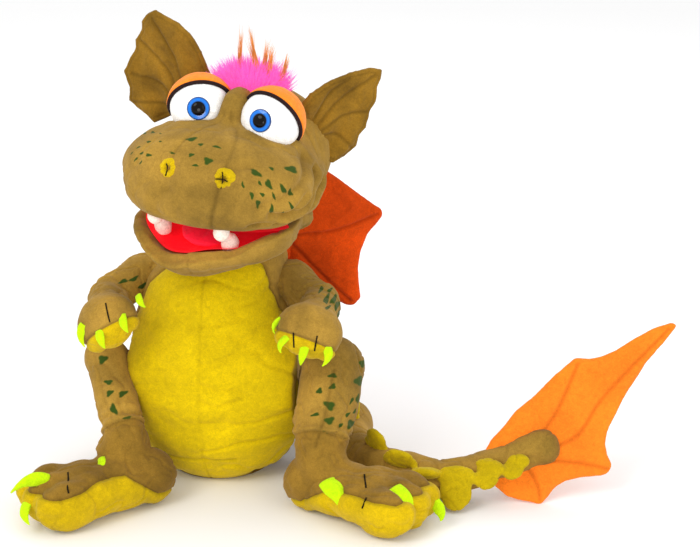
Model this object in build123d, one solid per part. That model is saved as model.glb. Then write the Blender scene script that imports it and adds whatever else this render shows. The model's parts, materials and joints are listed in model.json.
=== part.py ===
from build123d import *
import os
from math import sin, cos, radians, degrees, atan2

# Seated dragon hand puppet. Millimetres. The puppet faces -Y, +Z is up, its left is +X.
# Origin: centre of the flat seat face on the ground.

# ---------------------------------------------------------------- driving dimensions
GAP = 0.8                # play between a ball joint's ball and its socket
# trunk
TRUNK_R = 94.0           # widest radius of the round trunk
TRUNK_WIDE_Z = 92.0      # height of the widest place
TRUNK_TOP_Z = 226.0
TRUNK_TOP_R = 61.0
HIP_FLAT_X = 75.5        # the trunk is pressed flat here by the thighs
HIP_FLAT_Z = 168.0
SEAT_R = 48.0
SEAT_H = 44.0
TUNNEL_R = 44.0          # arm tunnel
LINING_T = 1.6
TUNNEL_LOW = 58.0
ENTRY_W, ENTRY_LOW, ENTRY_HIGH = 84.0, 66.0, 148.0
BELLY_SEAM_Y = -34.0      # front edge of the side panels
BACK_SEAM_Y = 40.0        # back edge of the side panels
# neck
NECK_X, NECK_Y = 16.0, 4.0
NECK_PIVOT = Vector(NECK_X, NECK_Y, 268)
NECK_BORE_R = 34.0
NECK_R = 38.5
NECK_BALL_R = 43.0
RING_T = 4.0
# head, in its own frame: origin on the jaw hinge, face towards -Y
HEAD_AT = Vector(32, 2, 293)
HEAD_YAW, HEAD_ROLL, HEAD_PITCH = -10.0, 6.0, 0.0
JAW_REST_OPEN = 13.0
EYE_R = 31.0
EYE_X, EYE_Y, EYE_Z = 36.0, -48.0, 98.0
IRIS_R, PUPIL_R = 11.0, 6.6
LID_T = 5.0
EAR_T = 8.0
# arms and legs
SHOULDER_R, ELBOW_R, WRIST_R = 23.0, 20.0, 18.0
HIP_R, ANKLE_R = 26.0, 24.0
KNEE_R = {"right": 23.0, "left": 31.0}
SHIN_GIRTH = {"right": 0.92, "left": 1.22}
FOOT_TOE_R, FOOT_HEEL_R, FOOT_LENGTH = 42.0, 30.0, 86.0
FOOT_H, SOLE_H = 52.0, 26.0
# tail
TAIL_R = (21.0, 19.5, 17.0)
TAIL_BALL_R = (23.0, 22.0, 20.0)
FIN_T = 9.0
WING_T = 11.0

# ---------------------------------------------------------------- pivots
SHOULDER = {"right": Vector(-79, -2, 200), "left": Vector(79, -2, 200)}
ELBOW = {"right": Vector(-102, -42, 188), "left": Vector(112, -35, 190)}
WRIST = {"right": Vector(-93, -79, 188), "left": Vector(116, -73, 190)}
PAW = {"right": Vector(-87, -101, 183), "left": Vector(114, -96, 184)}
HIP = {"right": Vector(-96, 22, 52), "left": Vector(96, 22, 52)}
KNEE = {"right": Vector(-105, -52, 127), "left": Vector(127, -42, 128)}
ANKLE = {"right": Vector(-70, -110, 62), "left": Vector(124, -101, 60)}
HEEL = {"right": Vector(-49, -113, 0), "left": Vector(118, -98, 0)}
FOOT_DIR = {"right": Vector(-0.76, -0.65, 0), "left": Vector(0.93, -0.37, 0)}
TAIL_ROOT = Vector(16, 96, 27)
TAIL_SPREAD = Vector(60, 108, 25)
TAIL_BEND_1 = Vector(136, 16, 23)
TAIL_BEND_2 = Vector(240, -58, 22)
TAIL_END = Vector(333, -30, 50)
WING_ROOT = {"right": Vector(-58, 66, 238), "left": Vector(58, 66, 238)}


# ---------------------------------------------------------------- helpers
def ball(centre, r, axis=(0, 0, 1)):
    """A ball whose poles lie along an axis."""
    return Plane(origin=Vector(*centre), z_dir=Vector(*axis)).location * Sphere(r)


def ellipsoid(centre, semi):
    """An ellipsoid: a unit sphere scaled by its three half axes."""
    return Pos(*centre) * scale(Sphere(1), by=semi)


def along(start, direction):
    """A frame at start whose Z runs along direction."""
    return Plane(origin=start, z_dir=direction).location


def turned(points):
    """A solid of revolution about Z through (radius, height) points, smooth between them."""
    (r0, z0), (r1, z1) = points[0], points[-1]
    side = Spline(*points)
    outline = side + Polyline((r1, z1), (0, z1), (0, z0), (r0, z0))
    return revolve(Plane.XZ * make_face(outline), Axis.Z)


def limb(start, end, ball_r, stations):
    """A ball with a shaft: one solid of revolution. stations are (distance, radius)."""
    s0, r0 = stations[0]
    exit_s = (ball_r ** 2 - r0 ** 2) ** 0.5
    pts = [(r0, exit_s)] + [(r, s) for s, r in stations if s > exit_s + 2]
    mid = radians(-20)
    arc = ThreePointArc((0, -ball_r), (ball_r * cos(mid), ball_r * sin(mid)), (r0, exit_s))
    side = Spline(*pts) if len(pts) > 2 else Line(*pts)
    r1, s1 = pts[-1]
    outline = arc + side + Polyline((r1, s1), (0, s1), (0, -ball_r))
    return along(start, end - start) * revolve(Plane.XZ * make_face(outline), Axis.Z)


def rod(start, end, r0, r1=None):
    """A straight rod or cone between two points."""
    length = (end - start).length
    shape = Cylinder(r0, length) if r1 is None else Cone(r0, r1, length)
    return along(start, end - start) * Pos(0, 0, length / 2) * shape


def beyond(point, direction, size=400.0):
    """A big block that fills everything past a point, in a direction."""
    return along(point, direction) * Pos(0, 0, size / 2) * Box(size, size, size)


def block(x0=-400, x1=400, y0=-400, y1=400, z0=-400, z1=600):
    """A box between two corners; the default reaches past the whole object."""
    return Pos((x0 + x1) / 2, (y0 + y1) / 2, (z0 + z1) / 2) * Box(x1 - x0, y1 - y0, z1 - z0)


def main_solid(shape):
    """The largest solid of a cut, without loose slivers."""
    return max(shape.solids(), key=lambda s: s.volume)


def claw(base, direction, length, r):
    """A felt claw: a blunt cone."""
    tip = base + direction.normalized() * length
    return rod(base, tip, r, r * 0.22)


parts = {}


# ---------------------------------------------------------------- trunk
def trunk_form(grow=0.0):
    """The round body, pressed flat at both hips."""
    outer = turned([(52 + grow, 0), (71 + grow, 14), (87 + grow, 44),
                    (TRUNK_R + grow, TRUNK_WIDE_Z), (91 + grow, 130), (83 + grow, 170),
                    (70 + grow, 206), (TRUNK_TOP_R + grow, TRUNK_TOP_Z)])
    for sign in (-1, 1):
        press = Pos(sign * (HIP_FLAT_X + 60), 14, HIP_FLAT_Z / 2 - 10)
        outer = main_solid(outer - press * Box(120, 132, HIP_FLAT_Z + 20))
    return outer


def trunk():
    outer = trunk_form()
    entry_mid = (ENTRY_LOW + ENTRY_HIGH) / 2
    entry_h = ENTRY_HIGH - ENTRY_LOW

    def passage(grow):
        low = TUNNEL_LOW - grow
        shaft = Pos(0, 0, (low + 210) / 2) * Cylinder(TUNNEL_R + grow, 210 - low)
        mouth = Pos(0, 60, entry_mid) * Box(ENTRY_W + 2 * grow, 120, entry_h + 2 * grow)
        return shaft + mouth

    collar = Pos(NECK_X, NECK_Y, 220) * Cylinder(NECK_R + GAP, 60)
    lining = main_solid((passage(LINING_T) & outer) - passage(0) - collar)
    seat = Pos(0, 0, SEAT_H / 2) * Cylinder(SEAT_R, SEAT_H)
    padding = main_solid(outer - passage(LINING_T) - collar - seat)
    for chin in jaw_sweep():
        lining = main_solid(lining - chin)
        padding = main_solid(padding - chin)
    for side in ("left", "right"):
        out = (1 if side == "left" else -1, 0, 0)
        padding = main_solid(padding - ball(SHOULDER[side], SHOULDER_R + GAP, out))
        padding = main_solid(padding - ball(HIP[side], HIP_R + GAP, out))
    padding = main_solid(padding - ball(TAIL_ROOT, TAIL_BALL_R[0] + GAP, (0, 1, 0)))
    parts["belly_panel"] = main_solid(padding - block(y0=BELLY_SEAM_Y))
    parts["back_panel"] = main_solid(padding - block(y1=BACK_SEAM_Y))
    middle = padding & block(y0=BELLY_SEAM_Y, y1=BACK_SEAM_Y)
    parts["left_side_panel"] = main_solid(middle - block(x1=0))
    parts["right_side_panel"] = main_solid(middle - block(x0=0))
    parts["seat_pad"] = seat
    parts["arm_tunnel_lining"] = lining
    skin = main_solid(trunk_form(3.0) - outer)
    frame = Pos(0, 80, entry_mid) * (Box(ENTRY_W + 14, 60, entry_h + 14)
                                     - Box(ENTRY_W, 62, entry_h))
    parts["hand_entry_hem"] = main_solid((skin & frame) - ball(TAIL_ROOT, TAIL_BALL_R[0] + GAP))


# ---------------------------------------------------------------- neck
def neck():
    shoulder_z = NECK_PIVOT.Z - (NECK_BALL_R ** 2 - NECK_R ** 2) ** 0.5
    stem = Pos(NECK_X, NECK_Y, (206 + NECK_PIVOT.Z) / 2) * Cylinder(NECK_R, NECK_PIVOT.Z - 206)
    cap = ball(NECK_PIVOT, NECK_BALL_R) & block(z0=shoulder_z - 1, z1=NECK_PIVOT.Z + 8)
    bore = Pos(NECK_X, NECK_Y, 240) * Cylinder(NECK_BORE_R, 120)
    parts["neck_base"] = main_solid(stem + cap - bore)
    inner = NECK_BALL_R + 0.6
    ring = ball(NECK_PIVOT, inner + RING_T) - ball(NECK_PIVOT, inner)
    parts["neck_ring"] = main_solid(
        ring & block(z0=NECK_PIVOT.Z - 8, z1=NECK_PIVOT.Z + 14))


HEAD = (Pos(*HEAD_AT) * Rot(0, 0, HEAD_YAW) * Rot(0, HEAD_ROLL, 0) * Rot(HEAD_PITCH, 0, 0))


# ---------------------------------------------------------------- head
def head():
    def to_world(shape):
        return HEAD * shape

    neck_local = (HEAD.inverse() * Pos(*NECK_PIVOT)).position
    above_mouth = Pos(0, 0, 100) * Box(400, 500, 200)
    eyes = {"left": Vector(EYE_X, EYE_Y, EYE_Z), "right": Vector(-EYE_X, EYE_Y, EYE_Z)}

    muzzle = ellipsoid((-3, -74, 33), (96, 74, 54))
    cranium = ellipsoid((0, 4, 44), (80, 74, 68))
    hand_room = (Pos(0, -42, 26) * Box(88, 116, 38) + ball(neck_local, NECK_BALL_R + 5.6)
                 + Pos(neck_local.X, neck_local.Y, neck_local.Z - 30)
                 * Cone(66, NECK_BALL_R + 3, 60))
    muzzle = muzzle & above_mouth
    upper_plate = Pos(0, -66, 3.0) * extrude(mouth_outline(76, 60), 2.4)
    upper_lining = Pos(0, -66, 0.2) * extrude(mouth_outline(79, 63), 2.6)
    muzzle = muzzle - Pos(0, -66, -1) * extrude(mouth_outline(79.3, 63.3), 6.6)
    muzzle = muzzle - hand_room
    cranium = cranium - hand_room - beyond(Vector(0, -16, 0), Vector(0, -1, 0))
    cranium = cranium - jaw_clearance()
    muzzle = muzzle - beyond(Vector(0, -16.2, 0), Vector(0, 1, 0))
    for eye in eyes.values():
        muzzle = muzzle - ball(eye, EYE_R + LID_T + 0.3)
        cranium = cranium - ball(eye, EYE_R + LID_T + 0.3)
    tuft = ellipsoid((0, -10, 112), (32, 24, 18)) - cranium
    for side in ("left", "right"):
        cranium = cranium - ear_hinge_room(side)
    nostrils = []
    for sign in (-1, 1):
        spot = Vector(sign * 28, -134, 52)
        nostrils.append(rod(spot, spot + Vector(sign * 1.5, -13, 6), 12.5, 11))
    muzzle_cut = muzzle
    for n in nostrils:
        muzzle_cut = muzzle_cut - n
    tuft = tuft - ball(eyes["left"], EYE_R + LID_T + 0.3) - ball(eyes["right"], EYE_R + LID_T + 0.3)

    out = {"muzzle_cover": main_solid(muzzle_cut), "cranium_cover": main_solid(cranium),
           "nostrils": Compound(children=nostrils), "hair_tuft": main_solid(tuft),
           "upper_mouth_plate": upper_plate, "upper_mouth_lining": upper_lining}
    strands = []
    for x, y, lean, tall in ((-13, -12, -8, 60), (-6, -9, -4, 62), (12, -10, 10, 50),
                             (18, -13, 14, 46), (29, -8, 20, 36)):
        root = Vector(x, y, 126)
        strands.append(rod(root, root + Vector(lean, 2, tall), 2.2, 0.5))
    out["hair_strands"] = Compound(children=[s - tuft for s in strands])
    teeth = [tooth(Vector(sign * 40, -122, -0.2), Vector(0, 0, -1), 15, 9) for sign in (-1, 1)]
    out["upper_teeth"] = Compound(children=teeth)

    irises, pupils, lashes = [], [], []
    for side, eye in eyes.items():
        sign = 1 if side == "left" else -1
        gaze = Vector(-0.10 if side == "left" else 0.32, -1.0, 0.14).normalized()
        white = ball(eye, EYE_R)
        iris = rod(eye + gaze * 24, eye + gaze * (EYE_R + 1.0), IRIS_R, IRIS_R * 0.86)
        pupil = rod(eye + gaze * 26, eye + gaze * (EYE_R + 1.8), PUPIL_R, PUPIL_R * 0.8)
        iris = iris - pupil
        out[side + "_eyeball"] = white - iris - pupil
        irises.append(iris)
        pupils.append(pupil)
        shell = ball(eye, EYE_R + LID_T) - ball(eye, EYE_R + 0.25)
        edge_dir = Vector(sign * 0.30, 0.62, 0.72).normalized()
        edge = eye + edge_dir * 3.0
        back = beyond(edge + edge_dir * 3.4, edge_dir)
        band = (shell & beyond(edge, edge_dir)) - beyond(edge + edge_dir * 3.2, edge_dir)
        out[side + "_eyelid"] = main_solid(shell & back)
        lashes.append(main_solid(band))
    out["irises"] = Compound(children=irises)
    out["pupils"] = Compound(children=pupils)
    out["lash_bands"] = Compound(children=lashes)
    for name, shape in out.items():
        parts[name] = to_world(shape)


def mouth_outline(half_width, half_length):
    """The rounded plan of the mouth plates, straight at the hinge end."""
    shape = Pos(0, 0) * Ellipse(half_width, half_length)
    return shape - Pos(0, half_length) * Rectangle(4 * half_width, half_length * 0.35 * 2)


def tooth(base, direction, length, r):
    body = rod(base, base + direction * (length - r * 0.7), r, r * 0.8)
    return body + ball(base + direction * (length - r * 0.75), r * 0.78)


def jaw_clearance():
    """Room in the back of the head for the swinging heel of the jaw."""
    return Pos(0, -10, -60) * Box(260, 60, 112)


# ---------------------------------------------------------------- jaw
JAW_OPENINGS = (4, 9, 14, 19)     # degrees past rest at which the chest and throat are clear
NOD_DOWN = 7.0                    # degrees the head can nod down before the chin meets the chest


def jaw_sweep():
    """What the swinging chin needs from the chest."""
    chin = [HEAD * Rot(JAW_REST_OPEN + a, 0, 0) * ellipsoid((-2, -70, -4), (86, 72, 45))
            for a in (0,) + JAW_OPENINGS]
    nod = Pos(*NECK_PIVOT) * Rot(NOD_DOWN, 0, 0) * Pos(*(NECK_PIVOT * -1))
    return chin + [nod * chin[0]]


def jaw():
    shell = ellipsoid((-2, -70, -4), (85, 71, 44)) & block(y1=-12, z1=-2)
    shell = shell - Pos(0, -64, -7) * extrude(mouth_outline(77.3, 60.3), 20)
    thumb_room = Pos(0, -46, -20) * Box(64, 84, 22)
    jaw_frame = HEAD * Rot(JAW_REST_OPEN, 0, 0)
    neck_in_jaw = (jaw_frame.inverse() * Pos(*NECK_PIVOT)).position
    shell = shell - thumb_room
    shell = shell - ball(neck_in_jaw, NECK_BALL_R + 14)
    for a in JAW_OPENINGS:
        opened = HEAD * Rot(JAW_REST_OPEN + a, 0, 0)
        stem = Pos(NECK_X, NECK_Y, 240) * Cylinder(NECK_R + 1.5, 100)
        shell = shell - opened.inverse() * stem
    out = {"jaw_cover": main_solid(shell)}
    cut = ball(neck_in_jaw, NECK_BALL_R + 14)
    out["lower_mouth_plate"] = main_solid(
        Pos(0, -64, -6.8) * extrude(mouth_outline(74, 57), 2.4) - cut)
    out["lower_mouth_lining"] = main_solid(
        Pos(0, -64, -4.2) * extrude(mouth_outline(77, 60), 2.4) - cut)
    tongue = ellipsoid((0, -76, -1.6), (30, 34, 6)) & block(z0=-1.6)
    out["tongue"] = main_solid(tongue - cut)
    teeth = [tooth(Vector(sign * 32, -103, -1.6), Vector(0, 0, 1), 16, 8.5) for sign in (-1, 1)]
    out["lower_teeth"] = Compound(children=teeth)
    for name, shape in out.items():
        parts[name] = jaw_frame * shape


# ---------------------------------------------------------------- ears
# where each ear is sewn on, its lean outwards and its sweep backwards
EAR_BASE = {"right": (Vector(-78, 6, 72), -34.0, 10.0), "left": (Vector(70, 12, 66), 48.0, 50.0)}
EAR_OUTLINE = {
    "right": [(-40, 4), (-48, 10), (-58, 28), (-50, 42), (-50, 55), (-35, 68), (-22, 82), (-6, 92),
              (6, 99), (16, 98), (26, 86), (37, 76), (45, 61), (48, 40), (45, 18), (38, 4)],
    "left": [(-46, 4), (-47, 20), (-42, 40), (-33, 61), (-20, 80), (-9, 88), (0, 76), (14, 61),
             (25, 38), (33, 21), (31, 6)]}


def ear_frame(side):
    base, lean, sweep = EAR_BASE[side]
    turn = sweep if side == "left" else -sweep
    return Pos(*base) * Rot(0, 0, turn) * Rot(0, lean, 0)


def ear_hinge_room(side):
    """A groove in the head round the root of an ear, and clear space above it."""
    groove = Rot(0, 90, 0) * Cylinder(7.0, 74) + Pos(0, 0, 60) * Box(82, 40, 120)
    return ear_frame(side) * groove


def ears():
    for side, pts in EAR_OUTLINE.items():
        face = Plane.XZ * make_face(Spline(*pts) + Line(pts[-1], pts[0]))
        blade = extrude(face, EAR_T / 2, both=True)
        root = Rot(0, 90, 0) * Cylinder(6.0, 56)
        web = Pos(0, 0, 5) * Box(52, EAR_T, 8)
        parts[side + "_ear"] = HEAD * ear_frame(side) * (blade + root + web)


# ---------------------------------------------------------------- arms
def arm(side):
    s, e, w, p = SHOULDER[side], ELBOW[side], WRIST[side], PAW[side]
    upper_len, fore_len = (e - s).length, (w - e).length
    upper = limb(s, e, SHOULDER_R, [(0, 16), (28, 17), (upper_len - 12, 17)])
    parts[side + "_upper_arm"] = main_solid(upper - ball(e, ELBOW_R + GAP))
    fore = limb(e, w, ELBOW_R, [(0, 15.5), (fore_len / 2, 16.5), (fore_len - 9, 16)])
    parts[side + "_forearm"] = main_solid(fore - ball(w, WRIST_R + GAP))
    sign = 1 if side == "left" else -1
    paw = ball(w, WRIST_R) + rod(w, p, 13, 22)
    paw = paw + Pos(*p) * scale(Sphere(1), by=(29, 25, 31))
    palm_face = Vector(-sign * 0.15, -0.72, -0.66).normalized()
    palm_at = p + palm_face * 9
    whole = paw - ball(e, ELBOW_R + 22)
    parts[side + "_paw"] = main_solid(paw - beyond(palm_at, palm_face))
    palm = main_solid(whole & beyond(palm_at + palm_face * 0.3, palm_face))
    parts[side + "_palm"] = palm
    claws = []
    across = Vector(1, 0, 0)
    for i in range(4):
        shift = (i - 1.5) * 13.0
        direction = (Vector(0, -0.62, -0.78) + across * (shift * 0.014)).normalized()
        start = p + across * shift + Vector(0, -18, -19 + abs(shift) * 0.32)
        claws.append(claw(start, direction, 25, 4.6) - paw)
    parts[side + "_hand_claws"] = Compound(children=[main_solid(c) for c in claws])


# ---------------------------------------------------------------- legs
def leg(side):
    h, k, a = HIP[side], KNEE[side], ANKLE[side]
    thigh_len, shin_len = (k - h).length, (a - k).length
    thigh = limb(h, k, HIP_R, [(0, 19), (40, 21), (66, 21), (thigh_len - 20, 16)])
    parts[side + "_thigh"] = main_solid(thigh - ball(k, KNEE_R[side] + GAP))
    girth = SHIN_GIRTH[side]
    shin = limb(k, a, KNEE_R[side], [(0, 17 * girth), (40, 22.5 * girth), (58, 23 * girth),
                                     (shin_len - 14, 19)])
    parts[side + "_shin"] = main_solid(shin - ball(a, ANKLE_R + GAP))
    foot(side)


def foot(side):
    heel, d, a = HEEL[side], FOOT_DIR[side].normalized(), ANKLE[side]
    heading = degrees(atan2(d.Y, d.X))
    outline = make_hull(Circle(FOOT_HEEL_R).edges()
                        + (Pos(FOOT_LENGTH, 0) * Circle(FOOT_TOE_R)).edges())
    pillow = extrude(outline, FOOT_H)
    pillow = fillet(pillow.edges(), 17)
    pillow = Pos(*heel) * Rot(0, 0, heading) * pillow
    instep = rod(a, Vector(a.X, a.Y, 24) + d * 14, 20, 27)
    whole = pillow + ball(a, ANKLE_R) + instep
    upper = whole - Pos(0, 0, SOLE_H / 2 - 50) * Box(1000, 1000, SOLE_H + 100)
    parts[side + "_foot"] = main_solid(upper)
    parts[side + "_sole"] = main_solid(whole & Pos(0, 0, SOLE_H / 2 - 50.1) * Box(
        1000, 1000, SOLE_H + 100))
    side_dir = Vector(-d.Y, d.X, 0)
    claws = []
    for shift in (-29, 0, 29):
        reach = FOOT_LENGTH + (FOOT_TOE_R ** 2 - shift ** 2) ** 0.5 - 9
        start = heel + d * reach + side_dir * shift + Vector(0, 0, SOLE_H + 3)
        direction = (d + side_dir * (shift * 0.012) + Vector(0, 0, 0.28)).normalized()
        claws.append(main_solid(claw(start, direction, 34, 6.5) - whole))
    parts[side + "_foot_claws"] = Compound(children=claws)


# ---------------------------------------------------------------- wings
WING_OUTLINE = [(0, -36), (14, -58), (62, -86), (76, -78), (75, -46), (77, -26), (82, -10),
                (99, 12), (93, 22), (60, 46), (40, 62), (16, 40), (0, 34)]
WING_ROOT_SPAN = (-38, 36)
WING_HEADING = {"left": 12.0, "right": 112.0}


def wings():
    for side in ("left", "right"):
        outline = make_face(Polyline(*WING_OUTLINE, close=True))
        face = Plane.XZ * outline
        blade = extrude(face, WING_T / 2, both=True)
        low, high = WING_ROOT_SPAN
        blade = blade + Pos(0, 0, (low + high) / 2) * Cylinder(WING_T / 2 + 1, high - low)
        parts[side + "_wing"] = (Pos(*WING_ROOT[side]) * Rot(0, 0, WING_HEADING[side]) * blade)


# ---------------------------------------------------------------- tail
def tail():
    root, b1, b2, end = TAIL_ROOT, TAIL_BEND_1, TAIL_BEND_2, TAIL_END
    arc1 = ThreePointArc(TAIL_SPREAD, Vector(122, 78, 23), b1)
    arc2 = ThreePointArc(b1, Vector(172, -38, 22), b2)
    names = ("tail_base", "tail_middle", "tail_tip")
    turn = Vector(122, 78, 23)
    tubes = [rod(root, TAIL_SPREAD, 16, 19)
             + ball(TAIL_SPREAD, TAIL_R[0] + 1.5, TAIL_SPREAD - turn)
             + rod(TAIL_SPREAD, turn, TAIL_R[0]) + ball(turn, TAIL_R[0] + 1.5, turn - b1)
             + rod(turn, b1, TAIL_R[0]),
             sweep(Plane(origin=arc2 @ 0, z_dir=arc2 % 0) * Circle(TAIL_R[1]), arc2),
             rod(b2, end, TAIL_R[2]) + ball(end, TAIL_R[2])]
    heads = ((root, TAIL_BALL_R[0], root - TAIL_SPREAD), (b1, TAIL_BALL_R[1]),
             (b2, TAIL_BALL_R[2]))
    for i, name in enumerate(names):
        shape = tubes[i] + ball(*heads[i])
        if i < 2:
            tip = heads[i + 1][0]
            tangent = (b1 - turn) if i == 0 else (arc2 % 1)
            shape = shape - beyond(tip - tangent.normalized() * 11, tangent, 90)
            shape = shape - ball(tip, heads[i + 1][1] + GAP)
        parts[name] = main_solid(shape)
    spots = {"tail_base_plates": (arc1, (0.60, 0.80), TAIL_R[0], (0, -0.1, 1)),
             "tail_middle_plates": (arc2, (0.30, 0.62), TAIL_R[1], (0, -0.55, 0.8)),
             "tail_tip_plates": (Line(b2, end), (0.38, 0.70), TAIL_R[2], (0, -0.8, 0.6))}
    for name, (path, where, r, up) in spots.items():
        plates = []
        for t in where:
            run = (path % t).normalized()
            lift = Vector(*up)
            lift = (lift - run * lift.dot(run)).normalized()
            plane = Plane(origin=path @ t, x_dir=run, z_dir=run.cross(lift))
            disc = plane * extrude(Circle(r + 13), 3, both=True)
            core = {"tail_base_plates": parts["tail_base"], "tail_middle_plates":
                    parts["tail_middle"], "tail_tip_plates": parts["tail_tip"]}[name]
            slab = plane * Pos(0, 60, 0) * Box(2 * 13, 120, 60)
            plates.append(main_solid((disc & slab) - core))
        parts[name] = Compound(children=plates)


FIN_TILT = 26.0
FIN_OUTLINE = [(44, -4), (47, 12), (71, 29), (111, 50), (164, 75), (187, 68), (224, 75), (271, 78),
               (259, 68), (229, 48), (202, 26), (172, -4), (165, -22), (162, -42), (152, -45),
               (130, -40), (115, -39), (99, -44), (85, -53), (74, -46), (60, -38), (47, -22)]


def fin():
    run = (TAIL_END - TAIL_BEND_2).normalized()
    up = Vector(0, 0, 1)
    up = (up - run * up.dot(run)).normalized().rotate(Axis((0, 0, 0), run), -FIN_TILT)
    plane = Plane(origin=TAIL_BEND_2, x_dir=run, z_dir=run.cross(up))
    blade = plane * extrude(make_face(Polyline(*FIN_OUTLINE, close=True)), FIN_T / 2, both=True)
    slot = rod(TAIL_BEND_2, TAIL_END, TAIL_R[2] + 0.7) + ball(TAIL_END, TAIL_R[2] + 0.7)
    parts["tail_fin"] = main_solid(blade - slot)


trunk()
neck()
head()
jaw()
ears()
for name in ("left", "right"):
    arm(name)
    leg(name)
wings()
tail()
fin()

os.makedirs("parts", exist_ok=True)
for name, shape in parts.items():
    shape.label = name
    export_step(shape, "parts/" + name + ".step")
    print(name, round(shape.volume))
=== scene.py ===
"""Seated plush dragon hand puppet: the looks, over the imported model.
Shapes are worked out in millimetres and scaled to metres when a piece is finished."""
import bpy
import bmesh
import json
import numpy as np
from math import pi, radians
from mathutils import Vector, Matrix, noise
from mathutils.bvhtree import BVHTree


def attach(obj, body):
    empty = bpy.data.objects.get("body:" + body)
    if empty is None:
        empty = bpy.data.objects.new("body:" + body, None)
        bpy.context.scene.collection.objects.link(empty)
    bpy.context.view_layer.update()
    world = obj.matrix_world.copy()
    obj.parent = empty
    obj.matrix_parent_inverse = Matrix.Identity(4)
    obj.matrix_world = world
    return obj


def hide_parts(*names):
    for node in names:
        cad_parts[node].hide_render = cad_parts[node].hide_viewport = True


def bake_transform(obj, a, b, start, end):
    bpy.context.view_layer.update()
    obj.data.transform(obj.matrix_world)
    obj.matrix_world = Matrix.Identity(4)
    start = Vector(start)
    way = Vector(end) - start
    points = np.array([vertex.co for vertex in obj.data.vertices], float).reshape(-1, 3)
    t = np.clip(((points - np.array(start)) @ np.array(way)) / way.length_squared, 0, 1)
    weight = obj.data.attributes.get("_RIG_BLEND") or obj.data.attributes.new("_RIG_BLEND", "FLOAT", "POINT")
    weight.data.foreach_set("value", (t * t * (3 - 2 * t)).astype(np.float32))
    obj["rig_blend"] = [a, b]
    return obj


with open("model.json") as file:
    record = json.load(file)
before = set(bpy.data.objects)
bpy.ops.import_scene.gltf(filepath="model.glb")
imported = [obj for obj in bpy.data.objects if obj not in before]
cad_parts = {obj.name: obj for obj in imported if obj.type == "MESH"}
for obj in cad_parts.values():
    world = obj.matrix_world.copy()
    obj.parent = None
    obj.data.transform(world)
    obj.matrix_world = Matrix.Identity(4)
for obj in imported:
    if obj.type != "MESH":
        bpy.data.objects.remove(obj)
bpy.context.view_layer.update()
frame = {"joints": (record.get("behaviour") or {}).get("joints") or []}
hinge = {j["name"]: j for j in frame["joints"]}


def pivot(name):
    return np.array(hinge[name]["pos_m"]) * 1000


HEAD_TURN, HEAD_LEAN, JAW_OPEN = radians(-10), radians(6), radians(13)
HEAD = (Matrix.Translation(pivot("jaw_hinge")) @ Matrix.Rotation(HEAD_TURN, 4, "Z")
        @ Matrix.Rotation(HEAD_LEAN, 4, "Y"))
JAW = HEAD @ Matrix.Rotation(JAW_OPEN, 4, "X")
WORLD = Matrix.Identity(4)
FRONT = (0.165, -0.937, 0.309)      # spots, slits and claws are dropped on from this side
INTO = (-0.165, 0.937, -0.309)
BLANK = -1.0                        # the spot field where nothing is painted


# ---------------------------------------------------------------- camera, light, floor
CAMERA_AT, CAMERA_LENS = (0.4522, -1.7906, 0.8032), 97.97
CAMERA_RIGHT, CAMERA_BACK = Vector((0.98481, 0.17365, 0)), Vector((0.16515, -0.93661, 0.30902))


def camera():
    """A long lens, turned 10 degrees and looking down 18."""
    data = bpy.data.cameras.new("camera")
    data.lens, data.sensor_width, data.clip_end = CAMERA_LENS, 36.0, 20
    cam = bpy.data.objects.new("camera", data)
    m = basis(CAMERA_RIGHT, CAMERA_BACK.cross(CAMERA_RIGHT), CAMERA_BACK).to_4x4()
    m.translation = CAMERA_AT
    cam.matrix_world = m
    bpy.context.scene.collection.objects.link(cam)
    bpy.context.scene.camera = cam


def lamp(name, place, aim, size, watts, tint=(1, 1, 1)):
    """A round area lamp at place, turned towards aim."""
    data = bpy.data.lights.new(name, "AREA")
    data.shape, data.size, data.energy, data.color = "DISK", size, watts, tint
    ob = bpy.data.objects.new(name, data)
    ob.location = place
    ob.rotation_euler = (Vector(aim) - Vector(place)).to_track_quat("-Z", "Y").to_euler()
    bpy.context.scene.collection.objects.link(ob)


def studio():
    """Four soft lamps, a white world and a paper floor."""
    lamp("key", (-0.9, -1.9, 1.9), (0.05, 0, 0.2), 1.3, 24, (1.0, 0.98, 0.95))
    lamp("fill", (1.9, -1.5, 1.0), (0.05, 0, 0.2), 1.6, 9, (0.96, 0.98, 1.0))
    lamp("rim", (0.6, 1.5, 1.5), (0, 0, 0.3), 1.0, 7)
    lamp("front", (0.35, -2.3, 0.35), (0.0, 0, 0.25), 0.7, 9)
    world = bpy.data.worlds.new("studio")
    world.use_nodes = True
    put(world.node_tree.nodes["Background"], Color=(1, 1, 1, 1), Strength=1.0)
    bpy.context.scene.world = world
    bpy.context.scene.view_settings.view_transform = "Standard"
    me = bpy.data.meshes.new("floor")
    me.from_pydata([(-6, -5, 0), (6, -5, 0), (6, 7, 0), (-6, 7, 0)], [], [(0, 1, 2, 3)])
    floor = bpy.data.objects.new("floor", me)
    bpy.context.scene.collection.objects.link(floor)
    m, _, bsdf = new_material("paper")
    put(bsdf, Base_Color=(0.93, 0.93, 0.93, 1), Roughness=0.9)
    me.materials.append(m)


# ---------------------------------------------------------------- materials
def srgb(r, g, b):
    """A display colour, 0 to 255, as the renderer's linear one."""
    c = np.array([r, g, b]) / 255.0
    return tuple(np.where(c <= 0.04045, c / 12.92, ((c + 0.055) / 1.055) ** 2.4)) + (1.0,)


def new_material(name):
    m = bpy.data.materials.new(name)
    m.use_nodes = True
    return m, m.node_tree, m.node_tree.nodes["Principled BSDF"]


def put(node, **values):
    """Sets a node's inputs; an underscore in a name stands for a space."""
    for key, x in values.items():
        node.inputs[key.replace("_", " ")].default_value = x


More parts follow.
